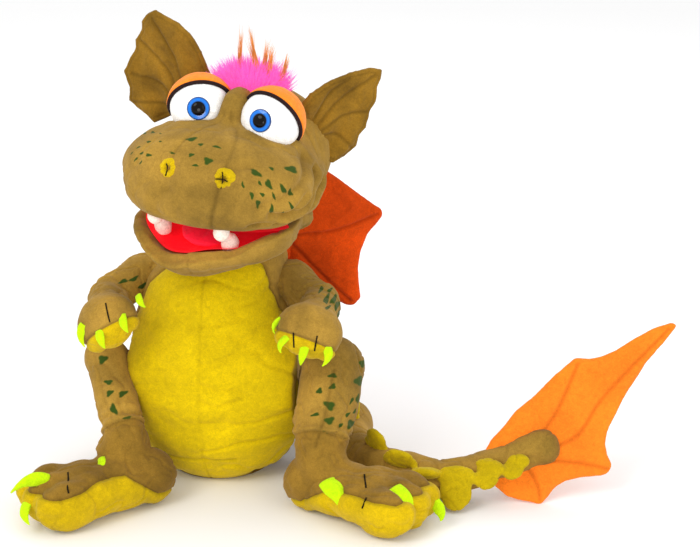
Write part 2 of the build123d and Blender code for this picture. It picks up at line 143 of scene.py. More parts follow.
def cloud(nt, scale, detail, distortion=0.0):
    """Noise in the piece's own coordinates."""
    n = nt.nodes.new("ShaderNodeTexNoise")
    put(n, Scale=scale, Detail=detail, Distortion=distortion)
    where = nt.nodes.get("Texture Coordinate") or nt.nodes.new("ShaderNodeTexCoord")
    nt.links.new(where.outputs["Object"], n.inputs["Vector"])
    return n.outputs["Fac"]


def spread(nt, value, a, b, lo=0.0, hi=1.0):
    """Maps a to lo and b to hi."""
    n = nt.nodes.new("ShaderNodeMapRange")
    put(n, From_Min=a, From_Max=b, To_Min=lo, To_Max=hi)
    nt.links.new(value, n.inputs["Value"])
    return n.outputs["Result"]


def blend(nt, fac, a, b):
    """A mixed colour; each input is a socket or a constant."""
    n = nt.nodes.new("ShaderNodeMix")
    n.data_type = "RGBA"
    for sock, x in ((n.inputs["Factor"], fac), (n.inputs["A"], a), (n.inputs["B"], b)):
        if isinstance(x, bpy.types.NodeSocket):
            nt.links.new(x, sock)
        else:
            sock.default_value = x
    return n.outputs["Result"]


def attribute(nt, key):
    n = nt.nodes.new("ShaderNodeAttribute")
    n.attribute_name = key
    return n.outputs["Fac"]


def times(colour, k):
    """A colour made k times as light."""
    return tuple(min(1, x * k) for x in colour[:3]) + (1,)


def cloth(name, colour, shade=0.72, light=1.18, pile=1.0, sheen=0.35, rough=0.92, patch=16.0,
          spots=None, painted_glow=0.0):
    """Velour or felt: patches of brushed pile, crushed marks, fine nap, painted shade along sunk seams and
    folds, and a painted glow when one is asked for.
    """
    m, nt, bsdf = new_material(name)
    c = srgb(*colour)
    put(bsdf, Roughness=rough, Specular_IOR_Level=0.12, Sheen_Weight=sheen, Sheen_Roughness=0.45,
        Sheen_Tint=tuple(min(1, 0.35 + 0.65 * x ** 0.6) for x in c[:3]) + (1,))
    col = blend(nt, spread(nt, cloud(nt, patch, 3, 0.6), 0.32, 0.68), times(c, shade), times(c, light))
    nap = spread(nt, cloud(nt, patch * 9, 4, 1.5), 0.3, 0.72, 0.86, 1.08)
    grain = spread(nt, cloud(nt, 900 / pile, 2), 0.25, 0.75, 0.84, 1.14)
    for value in (nap, grain):
        mul = nt.nodes.new("ShaderNodeVectorMath")
        mul.operation = "SCALE"
        nt.links.new(col, mul.inputs[0])
        nt.links.new(value, mul.inputs["Scale"])
        col = mul.outputs[0]
    if spots:
        col = blend(nt, spread(nt, attribute(nt, "spot"), -0.12, 0.22), col, srgb(*spots))
    # painted shade: the seam field darkens the cloth along its sunk seams and in its folds and creases
    col = blend(nt, spread(nt, attribute(nt, "seam_shade"), 0.0, 1.0, 0.0, 0.62), col, times(c, 0.30))
    nt.links.new(col, bsdf.inputs["Base Color"])
    # painted light: the cloth also glows in its own colour, brighter than the lamps alone would light it
    if painted_glow:
        nt.links.new(col, bsdf.inputs["Emission Color"])
        put(bsdf, Emission_Strength=painted_glow)
    low = None
    for value, distance, strength in ((cloud(nt, 150, 4, 1.2), 0.0011, 0.35),
                                      (cloud(nt, 1000 / pile, 2), 0.0006 * pile, 0.5)):
        n = nt.nodes.new("ShaderNodeBump")
        put(n, Strength=strength, Distance=distance)
        nt.links.new(value, n.inputs["Height"])
        if low:
            nt.links.new(low, n.inputs["Normal"])
        low = n.outputs["Normal"]
    nt.links.new(low, bsdf.inputs["Normal"])
    return m


def plastic(name, colour, rough=0.12, rings=None, coat=0.6, gloss=0.3):
    """Glossy moulded plastic with faint mottling; rings adds a printed radial pattern."""
    m, nt, bsdf = new_material(name)
    put(bsdf, Roughness=rough, Specular_IOR_Level=gloss, Coat_Weight=coat, Coat_Roughness=0.04)
    c = srgb(*colour)
    col = blend(nt, cloud(nt, 260 if rings else 120, 3), times(c, 0.8), times(c, 1.15))
    if rings:
        col = blend(nt, attribute(nt, "spot"), col, srgb(*rings))
    nt.links.new(col, bsdf.inputs["Base Color"])
    return m


# patches run from shade to light times the colour; pile is the coarseness of the nap
OLIVE = cloth("olive_velour", (152, 118, 46), shade=0.66, light=1.28, sheen=0.2, spots=(50, 72, 18))
BOOT = cloth("boot_velour", (140, 106, 36), shade=0.66, light=1.25, sheen=0.2)
OLIVE_DARK = cloth("olive_lining", (126, 92, 24), shade=0.7, light=1.35, patch=24, sheen=0.2)
YELLOW = cloth("yellow_velour", (206, 176, 0), shade=0.84, light=1.08, sheen=0.2)
SOLE = cloth("sole_velour", (198, 166, 4), shade=0.8, light=1.12, sheen=0.2)
PLATE = cloth("ridge_velour", (186, 160, 4), shade=0.8, light=1.12, sheen=0.2)
LIME = cloth("lime_felt", (190, 232, 8), shade=0.9, light=1.08, sheen=0.15)
ORANGE = cloth("wing_velour", (216, 72, 6), shade=0.8, light=1.12, sheen=0.25)
FIN = cloth("fin_velour", (255, 128, 30), shade=0.86, light=1.08)
LID = cloth("lid_velour", (255, 138, 40), shade=0.92, light=1.05)
LASH = cloth("lash_felt", (40, 24, 24), sheen=0.1)
# the mouth's red linings and the tongue glow a little: painted light that lifts them out of the mouth's
# shade
RED = cloth("mouth_satin", (255, 18, 34), shade=0.94, light=1.1, rough=0.6, sheen=0.1, painted_glow=0.22)
TONGUE = cloth("tongue_satin", (255, 30, 60), shade=0.94, light=1.06, rough=0.6, sheen=0.15,
               painted_glow=0.15)
TOOTH = cloth("tooth_plush", (246, 228, 214), shade=0.88, light=1.05, pile=1.8)
WHITE = cloth("eye_white", (250, 249, 247), shade=0.96, light=1.03, sheen=0.1, rough=0.6)
THREAD = cloth("thread", (28, 22, 10), sheen=0.0)
# the pink fur glows: painted light in place of the light its hairs shade from each other
PINK = cloth("pink_fur", (255, 104, 196), shade=0.96, light=1.15, sheen=0.3, painted_glow=0.35, patch=60)
STRAND = cloth("orange_fur", (236, 150, 62), shade=0.9, light=1.2, sheen=0.4, patch=60)
IRIS = plastic("iris_blue", (8, 112, 214), rings=(4, 40, 92), coat=0.2)
PUPIL = plastic("pupil_black", (10, 6, 5), rough=0.08, coat=0.08, gloss=0.1)


# ---------------------------------------------------------------- mesh tools
def new_object(name, co, faces):
    me = bpy.data.meshes.new(name)
    me.from_pydata([tuple(p) for p in co], [], faces)
    me.update()
    ob = bpy.data.objects.new(name, me)
    bpy.context.scene.collection.objects.link(ob)
    return ob


def points(ob):
    """The mesh's vertices, one row each."""
    co = np.empty(len(ob.data.vertices) * 3, np.float32)
    ob.data.vertices.foreach_get("co", co)
    return co.reshape(-1, 3).astype(float)


def directions(ob):
    no = np.empty(len(ob.data.vertices) * 3, np.float32)
    ob.data.vertex_normals.foreach_get("vector", no)
    return no.reshape(-1, 3).astype(float)


def set_points(ob, co):
    ob.data.vertices.foreach_set("co", co.astype(np.float32).ravel())
    ob.data.update()


def push(ob, amount):
    """Moves each vertex along its normal by amount(co)."""
    co = points(ob)
    set_points(ob, co + directions(ob) * amount(co)[:, None])


def field(ob, key, values):
    """Stores one number for each vertex, for a material or a cut to read."""
    a = ob.data.attributes.get(key) or ob.data.attributes.new(key, "FLOAT", "POINT")
    a.data.foreach_set("value", np.asarray(values, np.float32))


def baked(ob):
    """Applies the modifiers."""
    graph = bpy.context.evaluated_depsgraph_get()
    me = bpy.data.meshes.new_from_object(ob.evaluated_get(graph))
    ob.modifiers.clear()
    old, ob.data = ob.data, me
    bpy.data.meshes.remove(old)
    return ob


def unit(v):
    return np.array(v) / np.linalg.norm(v)


def basis(x, y, z):
    """The turn that takes the axes to x, y and z."""
    return Matrix((Vector(x), Vector(y), Vector(z))).transposed()


def around(n):
    return np.linspace(0, 2 * pi, n, endpoint=False)


def bands(rows, segs, flip=False, closed=True, base=0):
    """Quads between rows of segs points each; flip turns their faces over."""
    faces = []
    for i in range(rows - 1):
        a, b = base + i * segs, base + (i + 1) * segs
        for j in range(segs if closed else segs - 1):
            k = (j + 1) % segs
            faces.append((a + j, b + j, b + k, a + k) if flip else (a + j, a + k, b + k, b + j))
    return faces


def ball(centre, semi, rings=30, segs=60, turn=None):
    """An ellipsoid with its half sizes in semi."""
    if np.isscalar(semi):
        semi = (semi,) * 3
    t = np.linspace(0, pi, rings + 1)[1:-1]
    t, p = np.meshgrid(t, around(segs), indexing="ij")
    grid = np.stack([np.sin(t) * np.cos(p), np.sin(t) * np.sin(p), np.cos(t)], -1).reshape(-1, 3)
    co = np.vstack([[0, 0, 1], grid, [0, 0, -1]]) * np.array(semi)
    if turn is not None:
        co = co @ np.array(turn.to_3x3()).T
    faces, last = [], len(co) - 1
    for j in range(segs):
        k = (j + 1) % segs
        faces.append((0, 1 + j, 1 + k))
        for i in range(rings - 2):
            a, b = 1 + i * segs, 1 + (i + 1) * segs
            faces.append((a + j, b + j, b + k, a + k))
        a = 1 + (rings - 2) * segs
        faces.append((a + j, last, a + k))
    return co + np.array(centre, float), faces


def rounded(route, n):
    """A Catmull-Rom curve through the rows of route."""
    q = np.array(route, float)
    q = np.vstack([2 * q[0] - q[1], q, 2 * q[-1] - q[-2]])
    out = []
    spans = len(q) - 3
    for s in np.linspace(0, spans - 1e-6, n):
        i = int(s)
        t = s - i
        a, b, c, d = q[i:i + 4]
        out.append(0.5 * (2 * b + (c - a) * t + (2 * a - 5 * b + 4 * c - d) * t * t
                          + (3 * b - a - 3 * c + d) * t ** 3))
    return np.array(out)


def tube(route, n=48, segs=36, flat=1.0, side=None):
    """A tube through rows of (x, y, z, radius), closed by a flat cap at each end."""
    q = rounded(route, n)
    mid, r = q[:, :3], q[:, 3]
    tan = np.gradient(mid, axis=0)
    tan /= np.linalg.norm(tan, axis=1)[:, None]
    ref = np.array(side if side is not None else (0, 0, 1.0), float)
    if abs(ref @ tan[0]) > 0.9:
        ref = np.array((1.0, 0, 0))
    co = []
    ang = around(segs)
    for m, t, rad in zip(mid, tan, r):
        ref = ref - t * (ref @ t)
        ref /= np.linalg.norm(ref)
        other = np.cross(t, ref)
        co.append(m + rad * (np.cos(ang)[:, None] * ref + flat * np.sin(ang)[:, None] * other))
    faces = bands(n, segs)
    a, b, last = n * segs, n * segs + 1, (n - 1) * segs
    for j in range(segs):
        k = (j + 1) % segs
        faces += [(a, k, j), (b, last + j, last + k)]
    return np.vstack(co + [mid[0], mid[-1]]), faces


def last_ring(rows, segs):
    """The face that closes the last of the rows of flipped bands."""
    return tuple((rows - 1) * segs + j for j in range(segs))[::-1]


def joined(shapes):
    """Several (points, faces) pairs as one."""
    co, faces, base = [], [], 0
    for c, f in shapes:
        co.append(c)
        faces += [tuple(i + base for i in x) for x in f]
        base += len(c)
    return np.vstack(co), faces


def skinned(ob, voxel, smooth):
    """One even skin round closed shapes, eased and subdivided once; voxel is its grain."""
    m = ob.modifiers.new("skin", "REMESH")
    m.mode, m.voxel_size = "VOXEL", voxel
    m = ob.modifiers.new("ease", "SMOOTH")
    m.factor, m.iterations = 0.5, smooth
    m = ob.modifiers.new("fine", "SUBSURF")
    m.levels = m.render_levels = 1
    return baked(ob)


def soft(name, shapes, voxel, smooth):
    """One skin round overlapping closed shapes, with the creases between them eased."""
    return skinned(new_object(name, *joined(shapes)), voxel, smooth)


def slab(name, outline, thick, voxel):
    """A flat plate in the XZ plane, cut to an outline, then skinned."""
    n = len(outline)
    co = [(x, -thick / 2, z) for x, z in outline] + [(x, thick / 2, z) for x, z in outline]
    ob = new_object(name, co, [tuple(range(n)), tuple(range(2 * n - 1, n - 1, -1))] + [
        (i, (i + 1) % n, n + (i + 1) % n, n + i)[::-1] for i in range(n)])
    bm = bmesh.new()
    bm.from_mesh(ob.data)
    bmesh.ops.recalc_face_normals(bm, faces=bm.faces)
    bmesh.ops.triangulate(bm, faces=bm.faces)
    bm.to_mesh(ob.data)
    bm.free()
    return skinned(ob, voxel, 3)


OCTAVES = 2     # layers of noise in rumple


def away(co, line):
    """Distance from each point to a line through the rows of line."""
    line = np.array(line, float)
    best = np.full(len(co), 1e9)
    for a, b in zip(line[:-1], line[1:]):
        ab = b - a
        t = np.clip(((co - a) @ ab) / max(ab @ ab, 1e-9), 0, 1)
        best = np.minimum(best, np.linalg.norm(co - a - t[:, None] * ab, axis=1))
    return best


def rumple(co, size, seed):
    """Smooth noise, about -1 to 1; size is one length or one for each axis."""
    q = co / np.array(size) + seed * 17.3
    out = np.zeros(len(co))
    gain = 1.0
    for _ in range(OCTAVES):
        out += gain * np.array([noise.noise(p) for p in q])
        q, gain = q * 2.03, gain * 0.5
    return out


def roughen(ob, amount, size, seed):
    """Moves a surface in and out by smooth noise."""
    push(ob, lambda co: amount * rumple(co, size, seed))


def folds(co, size, seed):
    """Sharp valleys with round ridges between them, 0 to -1."""
    v = np.abs(rumple(co, size, seed))
    return -np.clip(1 - v * 5.0, 0, 1) ** 2


def groove(d, wide):
    """1 where d is 0, falling away over about wide."""
    return np.exp(-(d / wide) ** 2)


def step(a, b, x):
    """0 below a, 1 above b, smooth between them."""
    t = np.clip((x - a) / (b - a), 0, 1)
    return t * t * (3 - 2 * t)


def cut_along(ob, key):
    """Cuts the mesh on the line where a field is 0, and returns its two sides."""
    bm = bmesh.new()
    bm.from_mesh(ob.data)
    lay = bm.verts.layers.float[key]
    for v in bm.verts:
        if abs(v[lay]) < 0.02:
            v[lay] = 0.02
    edge = [e for e in bm.edges if e.verts[0][lay] * e.verts[1][lay] < 0]
    fresh = set()
    for e in edge:
        a, b = e.verts
        t = a[lay] / (a[lay] - b[lay])
        _, v = bmesh.utils.edge_split(e, a, t)
        v[lay] = 0.0
        fresh.add(v)
    for f in list(bm.faces):
        on = [v for v in f.verts if v in fresh]
        if len(on) == 2:
            try:
                bmesh.utils.face_split(f, on[0], on[1])
            except ValueError:
                pass
    sides = []
    for sign in (-1, 1):
        part = bm.copy()
        lay2 = part.verts.layers.float[key]
        drop = [f for f in part.faces if sum(v[lay2] for v in f.verts) * sign < 0]
        bmesh.ops.delete(part, geom=drop, context="FACES")
        me = bpy.data.meshes.new(ob.name + ("_low" if sign < 0 else "_high"))
        part.to_mesh(me)
        part.free()
        other = bpy.data.objects.new(me.name, me)
        bpy.context.scene.collection.objects.link(other)
        sides.append(other)
    bm.free()
    bpy.data.objects.remove(ob)
    return sides


def portion(ob, name, keep):
    """A copy of the faces whose centres pass keep(centres)."""
    me = ob.data
    mid = np.empty(len(me.polygons) * 3, np.float32)
    me.polygons.foreach_get("center", mid)
    wanted = keep(mid.reshape(-1, 3).astype(float))
    bm = bmesh.new()
    bm.from_mesh(me)
    bm.faces.ensure_lookup_table()
    bmesh.ops.delete(bm, geom=[f for f in bm.faces if not wanted[f.index]], context="FACES")
    out = bpy.data.meshes.new(name)
    bm.to_mesh(out)
    bm.free()
    other = bpy.data.objects.new(name, out)
    bpy.context.scene.collection.objects.link(other)
    return other


def dress(ob, name, stuff, body=None, at=WORLD, cover=(), bend=None):
    """Puts a finished piece in place: metres, material, body, and the nodes it replaces."""
    ob.name = name
    ob.data.name = name
    ob.data.transform(Matrix.Scale(0.001, 4) @ at)
    ob.data.materials.clear()
    ob.data.materials.append(stuff)
    for key in ("seam_shade", "spot"):
        if key not in ob.data.attributes:
            field(ob, key, np.full(len(ob.data.vertices), BLANK if key == "spot" else 0.0))
    ob.data.shade_smooth()
    ob.data.update()
    if bend:
        a, b, start, end = bend
        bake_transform(ob, a, b, start=tuple(np.array(start) / 1000), end=tuple(np.array(end) / 1000))
    else:
        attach(ob, body)
    if cover:
        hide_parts(*cover)
    return ob


def tree_of(ob):
    return BVHTree.FromPolygons([tuple(v.co) for v in ob.data.vertices],
                                [tuple(p.vertices) for p in ob.data.polygons])


def lie_on(tree, line, toward, lift=0.4):
    """Drops the rows of line on a surface, along a direction."""
    d = Vector(toward).normalized()
    out = []
    for p in line:
        hit = tree.ray_cast(Vector(p) - d * 60, d, 160)
        out.append(np.array(hit[0] - d * lift) if hit[0] is not None else np.array(p, float))
    return np.array(out)


def snapped(tree, line):
    """A smooth line through the points, moved onto the nearest surface."""
    return [tuple(tree.find_nearest(Vector(p))[0]) for p in rounded(line, 24)]


def thread(line, r):
    """A stitch laid along the rows of line."""
    q = np.hstack([np.array(line), np.full((len(line), 1), r)])
    return tube(q, n=max(8, 4 * len(line)), segs=8)


# ---------------------------------------------------------------- trunk
# arm opening: half width, half height, corner radius and the height of its centre
HEM_WIDE, HEM_TALL, HEM_CORNER, HEM_LEVEL = 33, 32, 9, 107
HEM_ROLL = 4.0
TRUNK_PROFILE = np.array([(0, 50), (14, 71), (44, 87), (92, 94), (130, 91), (170, 83), (206, 70),
                          (222, 62), (232, 54), (238, 46), (242, 41)], float)   # height, radius


def trunk():
    """The padded trunk, olive with a yellow belly, and a hole in its back for the arm."""
    z = np.linspace(0, TRUNK_PROFILE[-1, 0], 130)
    r = np.interp(z, *TRUNK_PROFILE.T)
    for _ in range(6):
        r[1:-1] = (r[:-2] + 2 * r[1:-1] + r[2:]) / 4
    segs = 300
    zz, aa = np.meshgrid(z, around(segs), indexing="ij")
    rr = np.repeat(r[:, None], segs, 1)
    # a bulge each side of the belly, a lean towards the neck, and hips wider on the left
    front = np.clip(np.cos(aa), 0, 1)
    rr = rr + 5 * groove(zz - 118, 32) * step(0.35, 0.75, front) * (1 - step(0.75, 0.97, front))
    x, y = rr * np.sin(aa), -rr * np.cos(aa)
    lean = step(200, 240, zz)
    x, y = x + 16 * lean, y + 4 * lean
    low = groove(zz - 96, 60) * step(0, 40, -y)
    x = x + low * np.where(x > 0, 22 * step(30, 80, x), -9 * step(30, 80, -x))
    # the thighs press the sides flat up to here
    room = (75.5 + np.where(x > 0, 14 * (1 - step(-42, -12, y)), 9 * (1 - step(-62, -42, y)))
            + 30 * step(150, 172, zz) + 30 * step(72, 92, y))
    x = np.where(np.abs(x) > room, np.sign(x) * (room + (np.abs(x) - room) * 0.08), x)
    co = np.stack([x, y, zz], -1).reshape(-1, 3)
    quads = np.array(bands(len(z), segs))
    mid = co[quads].mean(1)
    opening = ((mid[:, 1] > 0) & (np.abs(mid[:, 0]) < HEM_WIDE + HEM_CORNER)
               & (np.abs(mid[:, 2] - HEM_LEVEL) < HEM_TALL + HEM_CORNER))
    ob = new_object("trunk", co, quads[~opening].tolist())
    bm = bmesh.new()
    bm.from_mesh(ob.data)
    bmesh.ops.delete(bm, geom=[v for v in bm.verts if not v.link_faces], context="VERTS")
    bm.to_mesh(ob.data)
    bm.free()
    # the belly's edge, then the seams and the crease under the belly, each sunk and given painted shade:
    # edge, centre, crease under the belly, sides and spine
    co = points(ob)
    edge = -26 - 0.06 * (co[:, 2] - 110) + 12 * groove(co[:, 2] - 105, 45) * (co[:, 0] > 0)
    belly = edge - co[:, 1]
    centre = np.where(co[:, 1] < -20, np.abs(co[:, 0] - 1), 99)
    crease = np.where((co[:, 1] < -10) & (co[:, 0] > -62) & (co[:, 0] < 34),
                      np.abs(co[:, 2] - 33 - 0.02 * co[:, 0]), 99)
    back = np.abs(co[:, 1] - 40)
    spine = np.where(co[:, 1] > 20, np.abs(co[:, 0]), 99)
    seam_shade = np.maximum.reduce([groove(belly, 1.7), groove(centre, 1.1) * 0.5,
                              groove(crease, 1.3) * 0.8, groove(back, 1.4) * 0.8,
                              groove(spine, 1.4) * 0.8])
    # painted shade along the seams and in the crease under the belly
    field(ob, "seam_shade", seam_shade * 0.75)
    field(ob, "spot", np.full(len(co), BLANK))
    side = (co[:, 0] > 0).astype(float)

    def relief(co):
        wave = rumple(co, (75, 60, 26), 1) * 1.3 + rumple(co, (30, 30, 17), 2) * 0.5
        sag = folds(co + 3 * rumple(co, 30, 5)[:, None], (90, 70, 30), 3) * 1.7
        sag = 1.3 * sag * (0.45 + 0.65 * side)
        pucker = groove(belly, 7) * np.sin(co[:, 2] / 4.2 + 2 * rumple(co, 20, 4)) * 0.5
        return wave + sag + pucker + 1.6 * (1 - groove(belly, 9)) - 1.5 - seam_shade * 2.2

    push(ob, relief)
    co = points(ob)
    co[:, 2] = np.maximum(co[:, 2], 0.4)
    set_points(ob, co)
    field(ob, "zone", belly)
    sides, front = cut_along(ob, "zone")
    dress(front, "belly_cover", YELLOW, "trunk", cover=("belly_panel",))
    dress(sides, "trunk_cover", OLIVE, "trunk",
          cover=("back_panel", "left_side_panel", "right_side_panel"))


def seat():
    """The round pad the puppet sits on."""
    rows, segs, seat_r = 60, 120, 51
    co = [(r * np.cos(a), r * np.sin(a), 0.6 + 0.5 * groove(r - 49, 2))
          for r in np.linspace(seat_r, 0.5, rows) for a in around(segs)]
    ob = new_object("seat", co, bands(rows, segs, flip=True) + [last_ring(rows, segs)])
    co = points(ob)
    edge = groove(np.hypot(co[:, 0], co[:, 1]) - seat_r, 4)
    co[:, 2] += np.clip(rumple(co, 22, 9), -0.4, 1) * 0.5 * (1 - edge)
    set_points(ob, co)
    dress(ob, "seat_cover", OLIVE, "trunk", cover=("seat_pad",))


def hem():
    """The rolled hem round the arm opening."""
    path = []
    for sx, sz, a0 in ((1, 1, 0), (-1, 1, 90), (-1, -1, 180), (1, -1, 270)):
        for a in np.radians(np.linspace(a0, a0 + 90, 7)):
            path.append((sx * HEM_WIDE + HEM_CORNER * np.cos(a),
                         HEM_LEVEL + sz * HEM_TALL + HEM_CORNER * np.sin(a)))
    path.append(path[0])
    line = []
    for px, pz in path:
        r = np.interp(pz, *TRUNK_PROFILE.T) + 1
        line.append((px, (max(r ** 2 - px ** 2, 100)) ** 0.5, pz, HEM_ROLL))
    ob = new_object("hem", *tube(line, n=260, segs=18))
    roughen(ob, 0.5, 6, 3)
    dress(ob, "entry_hem", OLIVE_DARK, "trunk", cover=("hand_entry_hem",))


def neck():
    """The sleeve of cloth round the wrist, and the gathered ring that turns with the head."""
    n = pivot("neck_turn")
    # height, centre x and y, radius
    q = np.array([(222, 6, 2, 57), (230, 10, 3, 53), (238, 14, 4, 48.5), (246, 16, 4, 46),
                  (254, 16, 4, 45), (262, 16, 4, 44.6), (270, 16, 4, 43)], float)
    rows, segs = 44, 180
    co = []
    for h in np.linspace(q[0, 0], q[-1, 0], rows):
        cx, cy, r = (np.interp(h, q[:, 0], q[:, i]) for i in (1, 2, 3))
        co += [(cx + r * np.cos(a), cy + r * np.sin(a), h) for a in around(segs)]
    ob = new_object("neck", co, bands(rows, segs))
    push(ob, lambda co: 1.1 * rumple(co, (26, 26, 11), 2) + 1.4 * folds(co, (60, 60, 12), 4))
    dress(ob, "neck_sleeve", OLIVE, cover=("neck_base",),
          bend=("trunk", "neck", (n[0], n[1], 226), (n[0], n[1], 250)))
    # the ring is flared behind the mouth, so that the cloth closes up inside the head
    ring = [((47.4 + 0.6 * np.sin(t * 16)) * np.cos(t), (47.4 + 0.6 * np.sin(t * 16)) * np.sin(t))
            for t in np.linspace(-0.19, 0.34, 22)]
    ring += [(47, 18.5), (50, 21), (54, 23), (58, 24.5), (62, 25.5)]
    co = []
    for r, h in ring:
        for a in around(segs):
            flare = 1 if h < 16 else step(-0.4, -0.1, np.sin(a))
            wide = min(r, 45) + max(r - 45, 0) * flare
            co.append((n[0] + wide * np.cos(a), n[1] + wide * np.sin(a), n[2] + h))
    ob = new_object("ring", co, bands(len(ring), segs))
    ob.modifiers.new("thick", "SOLIDIFY").thickness = 2.5
    baked(ob)
    roughen(ob, 0.5, (14, 14, 30), 6)
    dress(ob, "neck_gather", OLIVE, "neck_ring", cover=("neck_ring",))


# ---------------------------------------------------------------- head
EYES = {"left": (37.5, -48.5, 91.0), "right": (-36.5, -48.5, 91.0)}
LIDS = {"left": (0.2, 0.85, 0.49), "right": (-0.42, 0.72, 0.52)}     # the way each lid faces
GAZE = {"left": (-0.02, -1.0, 0.22), "right": (0.34, -1.0, 0.22)}
EYE_R = 29.6
EYE_SCALE = 0.955       # iris, lid and lash are drawn for an eye of radius 31


def flat_below(shape, level):
    """A shape with everything under a level pressed flat on it."""
    co, faces = shape
    co[:, 2] = np.maximum(co[:, 2], level)
    return co, faces


def blots(co, spots):
    """How deep each point is inside the nearest painted spot.
    Rows are centre, half sizes, turn and the way the surface faces."""
    best = np.full(len(co), BLANK)
    for (cx, cy, cz), (a, b), turn, normal in spots:
        n = Vector(normal).normalized()
        u = n.cross(Vector((0, 0, 1))).normalized()
        u = Matrix.Rotation(radians(turn), 3, n) @ u
        v = n.cross(u)
        d = co - np.array((cx, cy, cz))
        du, dv, dn = d @ np.array(u) / a, d @ np.array(v) / b, d @ np.array(n)
        wob = 0.22 * np.sin(3 * np.arctan2(dv, du) + cx)
        best = np.maximum(best, np.where(np.abs(dn) < 16, 1 + wob - np.hypot(du, dv), -1))
    return np.clip(best, -1, 1)


MUZZLE_AT, MUZZLE = (-3, -74, 33), (95, 73, 54)
# each fold: the line of its valley, its width and its depth
HEAD_FOLDS = [([(66, -112, 24), (84, -84, 22), (92, -60, 34), (90, -40, 52)], 3.4, 3.6),
              ([(72, -104, 8), (88, -74, 8), (92, -48, 18), (86, -26, 34)], 3.6, 4.2),
              ([(60, -122, 30), (80, -98, 40), (90, -74, 56), (86, -50, 74)], 4.0, 2.2),
              ([(58, -128, 4), (76, -106, 16), (90, -84, 34)], 3.4, 2.4),
              ([(-80, -100, 10), (-92, -74, 14), (-90, -44, 26)], 4.0, 2.4),
              ([(-70, -116, 20), (-88, -88, 30), (-94, -60, 44)], 4.4, 1.6),
              ([(28, -140, 62), (40, -128, 66), (48, -118, 64)], 4.0, 1.6),
              ([(-24, -146, 34), (-34, -140, 18), (-30, -140, 4)], 5.0, 1.6)]
# each painted spot: x, z, half sizes and turn
HEAD_SPOTS = ((-78, 66, 5.5, 2.0, 20), (-66, 71, 6.5, 2.2, 15), (-60, 66, 4, 1.8, 20),
              (-70, 59, 4.5, 1.4, 35), (-62, 57, 4, 1.6, 30), (-52, 58, 5.5, 1.8, 15),
              (-76, 52, 4, 1.3, 60), (-68, 50, 4.5, 1.3, 60), (-60, 50, 3.5, 1.3, 60),
              (-86, 58, 4, 1.6, 40), (-54, 74, 4, 1.2, 5), (-46, 70, 3.5, 1.2, 0),
              (-16, 78, 7, 3.2, 25), (-4, 76, 3.6, 2.0, 0), (-8, 68, 3.6, 2.4, 20),
              (12, 76, 6, 1.6, -12), (10, 66, 5.4, 4.2, 0), (0, 61, 4.2, 1.4, 5),
              (-28, 66, 4.4, 1.3, 10), (54, 60, 7.5, 3.4, -40), (60, 52, 4, 1.4, -60),
              (64, 63, 3.6, 1.8, -40), (67, 51, 6.5, 3.2, -65), (77, 60, 8.5, 4.6, -25),
              (56, 41, 5, 2.0, -75), (64, 42, 3.6, 1.8, -40), (62, 33, 6, 2.6, -80),
              (73, 40, 6.5, 1.4, -60), (78, 46, 6.5, 3.0, -60), (72, 27, 6.5, 2.4, -85),
              (79, 24, 4, 1.6, -60), (84, 30, 5, 2.0, -60), (84, 42, 5, 2.6, -70),
              (47, 50, 5.5, 1.3, -70))


def on_muzzle(x, z):
    """The muzzle's surface straight ahead of x, z, and the way it faces there."""
    (cx, cy, cz), (rx, ry, rz) = MUZZLE_AT, MUZZLE
    y = cy - ry * max(0.02, 1 - ((x - cx) / rx) ** 2 - ((z - cz) / rz) ** 2) ** 0.5
    return (x, y, z), ((x - cx) / rx ** 2, (y - cy) / ry ** 2, (z - cz) / rz ** 2)


# each nostril's stitches, from one end (x, z) to the other
STITCHES = {1: (((-6, 0), (6, 0)), ((0, -11), (0, 8))), -1: (((0, -7), (0, 5)),)}


def nostrils(tree):
    """Puffed rings drawn in by stitches."""
    co, faces, marks = [], [], []
    ring, rows = 72, 26
    for sign in (-1, 1):
        spot = Vector(lie_on(tree, [(sign * 28, -134, 52)], (-sign * 0.06, 1, -0.25), 0)[0])
        face = Vector((sign * 0.10, -1, 0.30)).normalized()
        turn = face.to_track_quat("Z", "Y").to_matrix()
        squeeze = 0.86 if sign < 0 else 1.0
        faces += bands(rows, ring, flip=True, base=len(co))
        for t in np.linspace(0, 1, rows):
            r = 12.4 * t
            h = 5.2 * (1 - t ** 2.6) - 5.6 * groove(r, 3.4) - 0.9
            for a in around(ring):
                wob = 1 + 0.05 * np.sin(3 * a + sign) + 0.03 * np.sin(7 * a)
                pleat = 2 * np.sin(9 * a + sign) * t * (1 - t)
                co.append(turn @ Vector((r * wob * np.cos(a) * squeeze, r * wob * np.sin(a) * 0.92,
                                         h + pleat)) + spot)
    ob = new_object("nostrils_soft", co, faces)
    dress(ob, "nostril_pads", SOLE, "head", at=HEAD, cover=("nostrils",))
    for sign in (-1, 1):
        c = Vector(lie_on(tree, [(sign * 28, -134, 52)], (-sign * 0.06, 1, -0.25), 3.0)[0])
        for one, other in STITCHES[sign]:
            route = [c + Vector(p) for p in ((one[0], -2.6, one[1]), (0, 0.5, 0),
                                             (other[0], -2.6, other[1]))]
            marks.append(thread(route, 0.6))
    ob = new_object("nose_stitches", *joined(marks))
    dress(ob, "nose_stitch_lines", THREAD, "head", at=HEAD)


